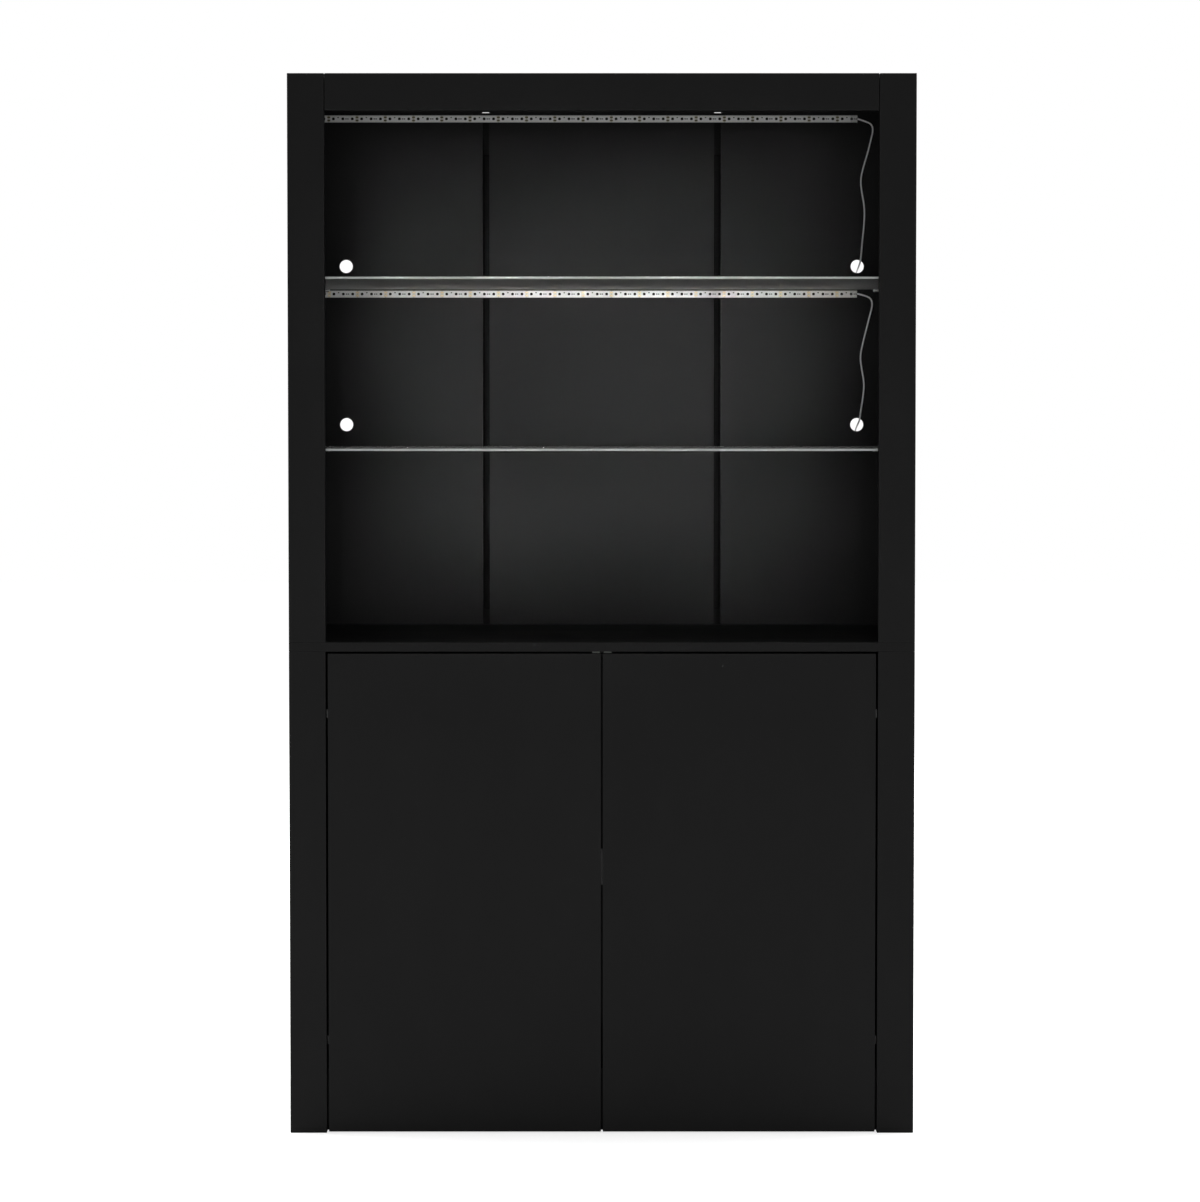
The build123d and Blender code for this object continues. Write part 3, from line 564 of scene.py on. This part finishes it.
def noise(tree, place, scale, detail=3.0, rough=0.5):
    node = tree.nodes.new("ShaderNodeTexNoise")
    feed(tree, node.inputs["Vector"], place)
    feed(tree, node.inputs["Scale"], scale)
    node.inputs["Detail"].default_value = detail
    node.inputs["Roughness"].default_value = rough
    return node.outputs["Fac"]


def blendColour(tree, share, first, second):
    node = tree.nodes.new("ShaderNodeMix")
    node.data_type = "RGBA"
    feed(tree, node.inputs[0], share)
    feed(tree, node.inputs[6], first)
    feed(tree, node.inputs[7], second)
    return node.outputs[2]


def objectPlace(tree):
    return tree.nodes.new("ShaderNodeTexCoord").outputs["Object"]


def addGroup(tree, group, **values):
    node = tree.nodes.new("ShaderNodeGroup")
    node.node_tree = group
    for label, value in values.items():
        feed(tree, node.inputs[label], value)
    return node.outputs


def startMaterial(name, **values):
    # A material with its Principled shader's plain sockets set by name, underscores for spaces
    material = bpy.data.materials.new(name)
    material.use_nodes = True
    tree = material.node_tree
    shader = tree.nodes["Principled BSDF"]
    for label, value in values.items():
        shader.inputs[label.replace("_", " ")].default_value = value
    return material, tree, shader.inputs


def addBump(tree, sockets, height, strength, distance):
    bump = tree.nodes.new("ShaderNodeBump")
    bump.inputs["Strength"].default_value = strength
    bump.inputs["Distance"].default_value = distance
    feed(tree, bump.inputs["Height"], height)
    feed(tree, sockets["Normal"], bump.outputs["Normal"])


def grey(value, warmth=0.0):
    return (value * (1 + warmth), value, value * (1 - warmth), 1)


def dress(name, material):
    # Gives a CAD node its finish
    slots = nodes[name].data.materials
    slots.clear()
    slots.append(material)


# Mask of a line along the edges of a box-shaped board, broken up by noise as far as Breakup asks: it
# carries edge wear and a painted edge highlight on the boards, and a painted shadow line on the joint
# strips
edgeWearAndPaintedLight, taken, given = startGroup(
    "edgeWearAndPaintedLight",
    [
        ("Centre", "NodeSocketVector", (0, 0, 0)), ("Half", "NodeSocketVector", (1, 1, 1)),
        ("Width", "NodeSocketFloat", 0.0016), ("Breakup", "NodeSocketFloat", 0.5),
    ],
    [("Mask", "NodeSocketFloat")],
)
place = objectPlace(edgeWearAndPaintedLight)
away = vectorCalc(edgeWearAndPaintedLight, "ABSOLUTE", vectorCalc(edgeWearAndPaintedLight, "SUBTRACT", place, taken["Centre"]))
apart = edgeWearAndPaintedLight.nodes.new("ShaderNodeSeparateXYZ")
feed(edgeWearAndPaintedLight, apart.inputs[0], vectorCalc(edgeWearAndPaintedLight, "SUBTRACT", taken["Half"], away))
nearX, nearY, nearZ = apart.outputs
lesser = calc(edgeWearAndPaintedLight, "MINIMUM", nearX, nearY)
greater = calc(edgeWearAndPaintedLight, "MAXIMUM", nearX, nearY)
nearEdge = calc(edgeWearAndPaintedLight, "MAXIMUM", lesser, calc(edgeWearAndPaintedLight, "MINIMUM", greater, nearZ))
line = spread(edgeWearAndPaintedLight, nearEdge, (taken["Width"], 0.0))
patches = spread(edgeWearAndPaintedLight, noise(edgeWearAndPaintedLight, place, 38.0, detail=4.0, rough=0.6), (0.35, 0.68), (0.25, 1.0))
nicks = spread(edgeWearAndPaintedLight, noise(edgeWearAndPaintedLight, place, 420.0, detail=2.0), (0.4, 0.7), (0.5, 1.0))
broken = calc(edgeWearAndPaintedLight, "MULTIPLY", patches, nicks)
kept = calc(edgeWearAndPaintedLight, "MULTIPLY_ADD", calc(edgeWearAndPaintedLight, "SUBTRACT", broken, 1.0), taken["Breakup"], 1.0)
feed(edgeWearAndPaintedLight, given["Mask"], calc(edgeWearAndPaintedLight, "MULTIPLY", line, kept))

# Fine pressed texture of a laminate, with slow changes in tone and gloss
pressed, taken, given = startGroup(
    "pressedTexture",
    [
        ("Scale", "NodeSocketFloat", 1500.0), ("Cloud", "NodeSocketFloat", 6.0),
        ("Seed", "NodeSocketVector", (0, 0, 0)),
    ],
    [("Height", "NodeSocketFloat"), ("Cloud", "NodeSocketFloat"), ("Smudge", "NodeSocketFloat")],
)
place = vectorCalc(pressed, "ADD", objectPlace(pressed), taken["Seed"])
pebble = noise(pressed, place, taken["Scale"], detail=3.0, rough=0.55)
coarse = noise(pressed, place, calc(pressed, "MULTIPLY", taken["Scale"], 0.27), detail=2.0)
feed(pressed, given["Height"], calc(pressed, "MULTIPLY_ADD", coarse, 0.6, pebble))
feed(pressed, given["Cloud"], noise(pressed, place, taken["Cloud"], detail=4.0, rough=0.55))
drawnOut = vectorCalc(pressed, "MULTIPLY", place, (1.0, 1.0, 0.35))
wiped = noise(pressed, drawnOut, 17.0, detail=5.0, rough=0.62)
feed(pressed, given["Smudge"], spread(pressed, wiped, (0.42, 0.72)))

# Dust that settles on faces that look up
dust, taken, given = startGroup(
    "settledDust", [("Amount", "NodeSocketFloat", 0.3)], [("Mask", "NodeSocketFloat")]
)
place = objectPlace(dust)
facing = dust.nodes.new("ShaderNodeSeparateXYZ")
feed(dust, facing.inputs[0], dust.nodes.new("ShaderNodeNewGeometry").outputs["Normal"])
upward = spread(dust, facing.outputs[2], (0.75, 0.98))
specks = spread(dust, noise(dust, place, 900.0, detail=2.0, rough=0.7), (0.60, 0.74))
film = spread(dust, noise(dust, place, 9.0, detail=4.0, rough=0.6), (0.40, 0.75), (0.1, 0.6))
settled = calc(dust, "MULTIPLY", calc(dust, "MAXIMUM", specks, film), upward)
feed(dust, given["Mask"], calc(dust, "MULTIPLY", settled, taken["Amount"]))

# Brushed or drawn metal: fine lines along one direction
drawn, taken, given = startGroup(
    "drawnLines",
    [("Stretch", "NodeSocketVector", (1, 1, 1)), ("Scale", "NodeSocketFloat", 800.0)],
    [("Height", "NodeSocketFloat"), ("Tarnish", "NodeSocketFloat")],
)
place = objectPlace(drawn)
stretched = vectorCalc(drawn, "MULTIPLY", place, taken["Stretch"])
feed(drawn, given["Height"], noise(drawn, stretched, taken["Scale"], detail=2.0))
feed(drawn, given["Tarnish"], spread(drawn, noise(drawn, place, 110.0, detail=4.0, rough=0.6), (0.4, 0.7)))
print("shader groups built")

# Black laminated boards: one finish a board, so that its edges and pattern are its own
boardPlan = {
    "nodes": (
        "upper_left_stile", "upper_right_stile", "top_fascia", "top_panel", "upper_left_side",
        "upper_right_side", "mid_panel", "base_left_stile", "base_right_stile", "base_left_side",
        "base_right_side", "base_bottom", "kick_board", "centre_partition", "inner_shelf_left",
        "inner_shelf_right", "door_left", "door_right",
    ),
    "firstSeed": 0,
    "tone": 0.0085,
    "cloudTone": 0.0105,
    "cloudScale": 5.0,
    # lighter edge line: edge wear, and a painted highlight along the board edges
    "edgeTone": 0.022,
    "edgeShare": 0.8,
    "dustTone": 0.10,
    "dustAmount": 0.22,
    "roughness": (0.62, 0.66),
    "smudgeGloss": 0.025,
    "specular": 0.16,
    "pebbleScale": 1500.0,
    "pebbleStrength": 0.35,
    "pebbleDepth": 0.00004,
    "edgeLine": (0.0017, 0.75),  # width of the edge line (wear and painted highlight) and how broken it is
}

# Back panels: thin board under a smoother, glossier black film
backPlan = {
    **boardPlan,
    "nodes": ("back_panel_left", "back_panel_middle", "back_panel_right", "base_back"),
    "firstSeed": 30,
    "tone": 0.0058,
    "cloudTone": 0.0066,
    # lighter edge line on the back panels: wear and painted highlight
    "edgeTone": 0.012,
    "roughness": (0.50, 0.56),
    "pebbleDepth": 0.00003,
}

# Battens behind the slots, toned darker than the boards: painted shade standing in for the deep shade in
# the slots
battenPlan = {
    **boardPlan,
    "nodes": ("back_batten_left", "back_batten_right"),
    "firstSeed": 40,
    # tone darker than the boards: painted shade
    "tone": 0.0045,
    "cloudTone": 0.007,
    # lighter edge line on the battens: wear and painted highlight
    "edgeTone": 0.012,
    "roughness": (0.75, 0.85),
    "specular": 0.1,
}

# Grey strips in the slots, with a near-black painted shadow line along their edges for the gap at each side
stripBarPlan = {
    **boardPlan,
    "nodes": ("joint_strip_left", "joint_strip_right"),
    "firstSeed": 50,
    "tone": 0.0075,
    "cloudTone": 0.0085,
    # near-black edge line: painted shadow of the gap beside each strip
    "edgeTone": 0.0008,
    "roughness": (0.65, 0.75),
    "specular": 0.0,
    "edgeLine": (0.0028, 0.0),
}


def boardFinish(name, number, plan):
    low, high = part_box(name)
    material, tree, sockets = startMaterial("board_" + name, Specular_IOR_Level=plan["specular"])
    seed = (number * 1.37, number * 2.11, number * 0.73)
    texture = addGroup(tree, pressed, Scale=plan["pebbleScale"], Cloud=plan["cloudScale"], Seed=seed)
    width, breakup = plan["edgeLine"]
    edgeLineMask = addGroup(
        tree, edgeWearAndPaintedLight, Centre=(low + high) / 2, Half=(high - low) / 2, Width=width, Breakup=breakup
    )
    settled = addGroup(tree, dust, Amount=plan["dustAmount"])
    tone = blendColour(tree, texture["Cloud"], grey(plan["tone"]), grey(plan["cloudTone"]))
    # edge line colour: lighter wear with a painted highlight on the boards, a near-black painted shadow
    # line on the joint strips
    edge = calc(tree, "MULTIPLY", edgeLineMask["Mask"], plan["edgeShare"])
    tone = blendColour(tree, edge, tone, grey(plan["edgeTone"]))
    tone = blendColour(tree, settled["Mask"], tone, grey(plan["dustTone"], 0.05))
    feed(tree, sockets["Base Color"], tone)
    gloss = spread(tree, texture["Cloud"], (0.3, 0.7), plan["roughness"])
    gloss = calc(tree, "SUBTRACT", gloss, calc(tree, "MULTIPLY", texture["Smudge"], plan["smudgeGloss"]))
    feed(tree, sockets["Roughness"], gloss)
    addBump(tree, sockets, texture["Height"], plan["pebbleStrength"], plan["pebbleDepth"])
    return material


for plan in (boardPlan, backPlan, battenPlan, stripBarPlan):
    for number, name in enumerate(plan["nodes"]):
        dress(name, boardFinish(name, plan["firstSeed"] + number, plan))
print("boards finished")

# Glass: clear and dusty on top, satin underneath, ground round the edges
glassFinish = {
    "top": {"roughness": (0.05, 0.06), "sheen": 0.33},
    "underside": {"roughness": (0.29, 0.31), "sheen": 0.05},
    "tint": (0.965, 0.985, 0.975, 1),
    "groundTones": ((0.52, 0.55, 0.535, 1), (0.60, 0.63, 0.615, 1)),
    "groundRoughness": (0.38, 0.5),
}
glassFaces = {}
for side in ("top", "underside"):
    glassFaces[side], tree, sockets = startMaterial(
        "clearGlass_" + side, Transmission_Weight=1.0, IOR=1.5, Base_Color=glassFinish["tint"],
        Sheen_Weight=glassFinish[side]["sheen"], Sheen_Roughness=0.5,
    )
    wiped = addGroup(tree, pressed, Scale=300.0, Cloud=3.0)
    gloss = spread(tree, wiped["Cloud"], (0.3, 0.7), glassFinish[side]["roughness"])
    feed(tree, sockets["Roughness"], gloss)
groundEdge, tree, sockets = startMaterial("groundEdge", Specular_IOR_Level=0.4)
rubbed = addGroup(tree, pressed, Scale=2600.0, Cloud=40.0)
feed(tree, sockets["Base Color"], blendColour(tree, rubbed["Cloud"], *glassFinish["groundTones"]))
feed(tree, sockets["Roughness"], spread(tree, rubbed["Cloud"], (0.3, 0.7), glassFinish["groundRoughness"]))
addBump(tree, sockets, rubbed["Height"], 0.4, 0.00003)
for shelf in shelves.values():
    for finish in (glassFaces["top"], glassFaces["underside"], groundEdge):
        shelf.data.materials.append(finish)
    for face in shelf.data.polygons:
        face.material_index = 0 if face.normal.z > 0.3 else 1 if face.normal.z < -0.3 else 2

# Metals: bright and tarnished tone, roughness of each, and the stretch, scale and depth of the lines
metalPlan = {
    "brightNickel": {
        "tones": (grey(0.78, 0.02), grey(0.62, 0.04)), "roughness": (0.16, 0.25),
        "stretch": (1, 1, 1), "scale": 900.0, "depth": 0.00001, "nodes": (),
    },
    "blackNickel": {
        "tones": (grey(0.085), grey(0.06, 0.02)), "roughness": (0.34, 0.46),
        "stretch": (0.2, 1, 1), "scale": 1100.0, "depth": 0.00002,
        "nodes": (
            "hinge_pins_left", "hinge_pins_right", "hinge_arms_left", "hinge_arms_right",
            "hinge_cups_left", "hinge_cups_right",
        ),
    },
    "pressedSteel": {
        "tones": (grey(0.60), grey(0.48, 0.02)), "roughness": (0.28, 0.42),
        "stretch": (0.2, 1, 1), "scale": 1100.0, "depth": 0.00002,
        "nodes": ("strike_plate_left", "strike_plate_right"),
    },
    "screwSteel": {
        "tones": (grey(0.50), grey(0.36, 0.03)), "roughness": (0.30, 0.48),
        "stretch": (1, 1, 0.3), "scale": 1300.0, "depth": 0.00002,
        "nodes": (
            "fixing_screws", "back_screws", "door_screws_left", "door_screws_right", "cam_bolts",
            "latch_spring_left", "latch_spring_right",
        ),
    },
    "castZinc": {
        "tones": (grey(0.42), grey(0.33, 0.02)), "roughness": (0.42, 0.60),
        "stretch": (1, 1, 1), "scale": 700.0, "depth": 0.00006, "nodes": ("cam_locks",),
    },
    "pinSteel": {
        "tones": (grey(0.80, 0.01), grey(0.70, 0.02)), "roughness": (0.34, 0.46),
        "stretch": (1, 1, 1), "scale": 1200.0, "depth": 0.00001, "nodes": ("shelf_pins",),
    },
    "padGold": {
        "tones": ((0.93, 0.80, 0.56, 1), (0.84, 0.69, 0.44, 1)), "roughness": (0.36, 0.46),
        "stretch": (1, 1, 1), "scale": 2000.0, "depth": 0.00002, "nodes": (),
    },
    # pads of the upper strip: the gold darkened as painted shade, since that strip lies in the shade of the
    # fascia
    "padGoldPaintedShade": {
        "tones": ((0.17, 0.15, 0.09, 1), (0.10, 0.09, 0.05, 1)), "roughness": (0.45, 0.58),
        "stretch": (1, 1, 1), "scale": 2000.0, "depth": 0.00002, "nodes": (),
    },
}
finishes = {}
for name, plan in metalPlan.items():
    finishes[name], tree, sockets = startMaterial(name, Metallic=1.0)
    lines = addGroup(tree, drawn, Stretch=plan["stretch"], Scale=plan["scale"])
    feed(tree, sockets["Base Color"], blendColour(tree, lines["Tarnish"], *plan["tones"]))
    feed(tree, sockets["Roughness"], spread(tree, lines["Tarnish"], (0.0, 1.0), plan["roughness"]))
    addBump(tree, sockets, lines["Height"], 0.3, plan["depth"])
    for node in plan["nodes"]:
        dress(node, finishes[name])

# Beech dowels
beechPlan = {"tones": ((0.50, 0.33, 0.19, 1), (0.68, 0.49, 0.31, 1)), "grain": (0.08, 1, 1), "scale": 700.0}
beech, tree, sockets = startMaterial("beechDowel", Roughness=0.6)
fibres = addGroup(tree, drawn, Stretch=beechPlan["grain"], Scale=beechPlan["scale"])
feed(tree, sockets["Base Color"], blendColour(tree, fibres["Height"], *beechPlan["tones"]))
addBump(tree, sockets, fibres["Height"], 0.4, 0.0001)
dress("dowels", beech)

# Moulded plastics: two tones, roughness where clean and where smudged, specular level and fine scale
plasticPlan = {
    # near-black latch body, darker than the boards: painted shade for the gap between the doors, where it
    # shows
    "latchPlastic": {
        "tones": (grey(0.004), grey(0.006)), "roughness": (0.60, 0.50), "specular": 0.12,
        "nodes": ("latch_body",),
    },
    "headPlastic": {
        "tones": ((0.20, 0.225, 0.195, 1), (0.24, 0.265, 0.235, 1)), "roughness": (0.45, 0.38),
        "nodes": ("latch_plunger_left", "latch_plunger_right"),
    },
    "bufferPlastic": {
        "tones": (grey(0.075), grey(0.09)), "roughness": (0.50, 0.42), "nodes": ("centre_buffer",),
    },
    "plugPlastic": {"tones": (grey(0.014), grey(0.02)), "roughness": (0.42, 0.32)},
    "leadVinyl": {
        "tones": (grey(0.84), grey(0.88, 0.01)), "roughness": (0.34, 0.29), "specular": 0.9,
        "scale": 2500.0,
    },
    "edgeTape": {"tones": (grey(0.006), grey(0.009)), "roughness": (0.60, 0.50), "specular": 0.15},
    "diodeHousing": {"tones": (grey(0.82), grey(0.86)), "roughness": (0.34, 0.29), "scale": 4000.0},
    "diodeResin": {
        "tones": ((0.012, 0.013, 0.010, 1), (0.020, 0.020, 0.015, 1)), "roughness": (0.46, 0.38),
        "specular": 0.12, "scale": 3000.0,
    },
    "chipBody": {
        "tones": (grey(0.02), grey(0.03)), "roughness": (0.55, 0.48), "specular": 0.15, "scale": 4000.0,
    },
}
for name, plan in plasticPlan.items():
    finishes[name], tree, sockets = startMaterial(name, Specular_IOR_Level=plan.get("specular", 0.5))
    moulded = addGroup(tree, pressed, Scale=plan.get("scale", 1800.0), Cloud=30.0)
    feed(tree, sockets["Base Color"], blendColour(tree, moulded["Cloud"], *plan["tones"]))
    feed(tree, sockets["Roughness"], spread(tree, moulded["Smudge"], (0.0, 1.0), plan["roughness"]))
    addBump(tree, sockets, moulded["Height"], 0.3, 0.00003)
    for node in plan.get("nodes", ()):
        dress(node, finishes[name])

# Lighting tape: white mask over two copper tracks, a cutting line at each mark
tapePlan = {
    "nodes": ("led_strip_upper", "led_strip_lower"),
    "trackInner": (0.0033, 0.0036),  # distances from the tape's middle line
    "trackOuter": (0.0050, 0.0053),
    "cutLine": (0.0002, 0.0003),  # distances from a cutting mark
    "padGap": (0.0030, 0.0034),
    "padShare": 0.35,
    "grimeShare": 0.2,
    "maskTone": grey(0.86),
    "trackTone": (0.80, 0.79, 0.75, 1),
    "padTone": (0.62, 0.58, 0.42, 1),
    "cutTone": grey(0.15),
    "grimeTone": grey(0.5, 0.05),
    "roughness": (0.29, 0.35),
}
tape, tree, sockets = startMaterial("lightingTape", Specular_IOR_Level=0.4)
split = tree.nodes.new("ShaderNodeSeparateXYZ")
feed(tree, split.inputs[0], objectPlace(tree))
fromMids = []
for node in tapePlan["nodes"]:
    low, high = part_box(node)
    fromMids.append(calc(tree, "ABSOLUTE", calc(tree, "SUBTRACT", split.outputs[2], (low.z + high.z) / 2)))
fromMid = calc(tree, "MINIMUM", *fromMids)
trackIn = spread(tree, fromMid, tapePlan["trackInner"])
trackOut = spread(tree, fromMid, tapePlan["trackOuter"], (1.0, 0.0))
track = calc(tree, "MULTIPLY", trackIn, trackOut)
fromFirst = calc(tree, "SUBTRACT", split.outputs[0], stripPlan["firstMark"])
alongMark = calc(tree, "PINGPONG", fromFirst, stripPlan["pitch"] / 2)
cutLine = spread(tree, alongMark, tapePlan["cutLine"], (1.0, 0.0))
padGap = spread(tree, alongMark, tapePlan["padGap"], (1.0, 0.0))
mask = blendColour(tree, track, tapePlan["maskTone"], tapePlan["trackTone"])
mask = blendColour(tree, calc(tree, "MULTIPLY", padGap, tapePlan["padShare"]), mask, tapePlan["padTone"])
mask = blendColour(tree, cutLine, mask, tapePlan["cutTone"])
grime = addGroup(tree, pressed, Scale=1600.0, Cloud=60.0)
soiled = calc(tree, "MULTIPLY", grime["Smudge"], tapePlan["grimeShare"])
feed(tree, sockets["Base Color"], blendColour(tree, soiled, mask, tapePlan["grimeTone"]))
feed(tree, sockets["Roughness"], spread(tree, grime["Cloud"], (0.3, 0.7), tapePlan["roughness"]))
addBump(tree, sockets, calc(tree, "MULTIPLY_ADD", track, 0.7, grime["Height"]), 0.3, 0.00004)
for node in tapePlan["nodes"]:
    dress(node, tape)

# Clear sleeves over the ends of the strips
sleevePlan = {"tone": 0.80, "roughness": (0.12, 0.22), "alpha": (0.10, 0.18)}
sleeve, tree, sockets = startMaterial("clearSleeve", Base_Color=grey(sleevePlan["tone"]))
soft = addGroup(tree, pressed, Scale=900.0, Cloud=60.0)
feed(tree, sockets["Roughness"], spread(tree, soft["Cloud"], (0.3, 0.7), sleevePlan["roughness"]))
feed(tree, sockets["Alpha"], spread(tree, soft["Cloud"], (0.3, 0.7), sleevePlan["alpha"]))
addBump(tree, sockets, soft["Height"], 0.2, 0.00003)
dress("led_sleeves", sleeve)

# Finishes of the new pieces
stripFinish = {
    "housings": "diodeHousing", "windows": "diodeResin", "chips": "chipBody", "solder": "screwSteel",
}
# the upper strip's pads take the gold darkened as painted shade
padFinish = {"upper": "padGoldPaintedShade", "lower": "padGold"}
for word, parts in stripParts.items():
    for part, finish in {**stripFinish, "pads": padFinish[word]}.items():
        parts[part].data.materials.append(finishes[finish])
for lead in leads.values():
    lead.data.materials.append(finishes["leadVinyl"])
for body, barrel in plugs.values():
    body.data.materials.append(finishes["plugPlastic"])
    barrel.data.materials.append(finishes["brightNickel"])
# pale caps on the right pin tips: painted glint
for glintCap in glintCaps:
    glintCap.data.materials.append(finishes["diodeHousing"])
for lipping in lippings:
    lipping.data.materials.append(finishes["edgeTape"])
print("finishes given")

# Each new piece rides on its body
for parts in stripParts.values():
    for piece in parts.values():
        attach(piece, "cabinet")
for glintCap in glintCaps:
    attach(glintCap, "cabinet")
for lipping in lippings:
    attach(lipping, "cabinet")
for node, shelf in shelves.items():
    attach(shelf, "cabinet")
    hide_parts(node)
for name, (body, barrel) in plugs.items():
    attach(body, "cabinet")
    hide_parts(name + "_plug")
    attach(barrel, "cabinet")
for name, lead in leads.items():
    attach(lead, "cabinet")
    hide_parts(name, name + "_coil")
print("pieces placed on their bodies")

# Pale floor and white surroundings, bright to the camera and dim to the cabinet
stagePlan = {
    "floorSize": 30.0,
    "floorHeight": -0.0004,
    "floorTone": 0.80,
    "nearGlow": 0.74,
    "farGlow": 1.0,
    "glowReach": (0.7, 2.2),
    "surroundings": 0.06,
}
bpy.ops.mesh.primitive_plane_add(size=stagePlan["floorSize"], location=(0, 0, stagePlan["floorHeight"]))
floor = bpy.context.object
floor.name = "studio_floor"
paleFloor, tree, sockets = startMaterial(
    "paleFloor", Base_Color=grey(stagePlan["floorTone"]), Roughness=0.9, Specular_IOR_Level=0.0,
    Emission_Color=grey(1.0),
)
path = tree.nodes.new("ShaderNodeLightPath")
away = tree.nodes.new("ShaderNodeVectorMath")
away.operation = "LENGTH"
feed(tree, away.inputs[0], objectPlace(tree))
glowRange = (stagePlan["nearGlow"], stagePlan["farGlow"])
glow = spread(tree, away.outputs["Value"], stagePlan["glowReach"], glowRange)
feed(tree, sockets["Emission Strength"], calc(tree, "MULTIPLY", path.outputs["Is Camera Ray"], glow))
floor.data.materials.append(paleFloor)

world = bpy.data.worlds.new("whiteRoom")
scene.world = world
world.use_nodes = True
tree = world.node_tree
background = tree.nodes["Background"]
path = tree.nodes.new("ShaderNodeLightPath")
seen = calc(tree, "MAXIMUM", path.outputs["Is Camera Ray"], path.outputs["Is Transmission Ray"])
feed(tree, background.inputs["Strength"], spread(tree, seen, (0.0, 1.0), (stagePlan["surroundings"], 1.0)))
background.inputs["Color"].default_value = grey(1.0)

# Soft lights, and a narrow beam that brightens the middle of the bay
lightPlan = {
    "frontSoftbox": {"place": (0, -5.6, 1.26), "aim": (0, 0, 0.85), "size": (3.6, 2.5), "power": 67},
    "bayBeam": {
        "place": (0, -5.3, 1.245), "aim": (0, 0, 1.235), "size": (0.72, 0.69), "power": 0.60, "spread": 4.0,
    },
    "leftSoftbox": {"place": (-3.4, 0.9, 1.9), "aim": (0, 0.2, 0.9), "size": (2.2, 2.6), "power": 190},
    "rightSoftbox": {"place": (3.4, 0.9, 1.9), "aim": (0, 0.2, 0.9), "size": (2.2, 2.6), "power": 150},
    "rearSoftbox": {"place": (0.4, 4.6, 2.1), "aim": (0, 0, 0.9), "size": (3.0, 2.2), "power": 60},
    "topSoftbox": {"place": (0, 0.3, 4.2), "aim": (0, 0.1, 0), "size": (2.6, 2.0), "power": 60},
}
for name, plan in lightPlan.items():
    bpy.ops.object.light_add(type="AREA", location=plan["place"])
    light = bpy.context.object
    light.name = name
    light.data.shape = "RECTANGLE"
    light.data.size, light.data.size_y = plan["size"]
    light.data.energy = plan["power"]
    light.data.spread = math.radians(plan.get("spread", 180))
    light.rotation_euler = (Vector(plan["aim"]) - Vector(plan["place"])).to_track_quat("-Z", "Y").to_euler()
print("stage lit")
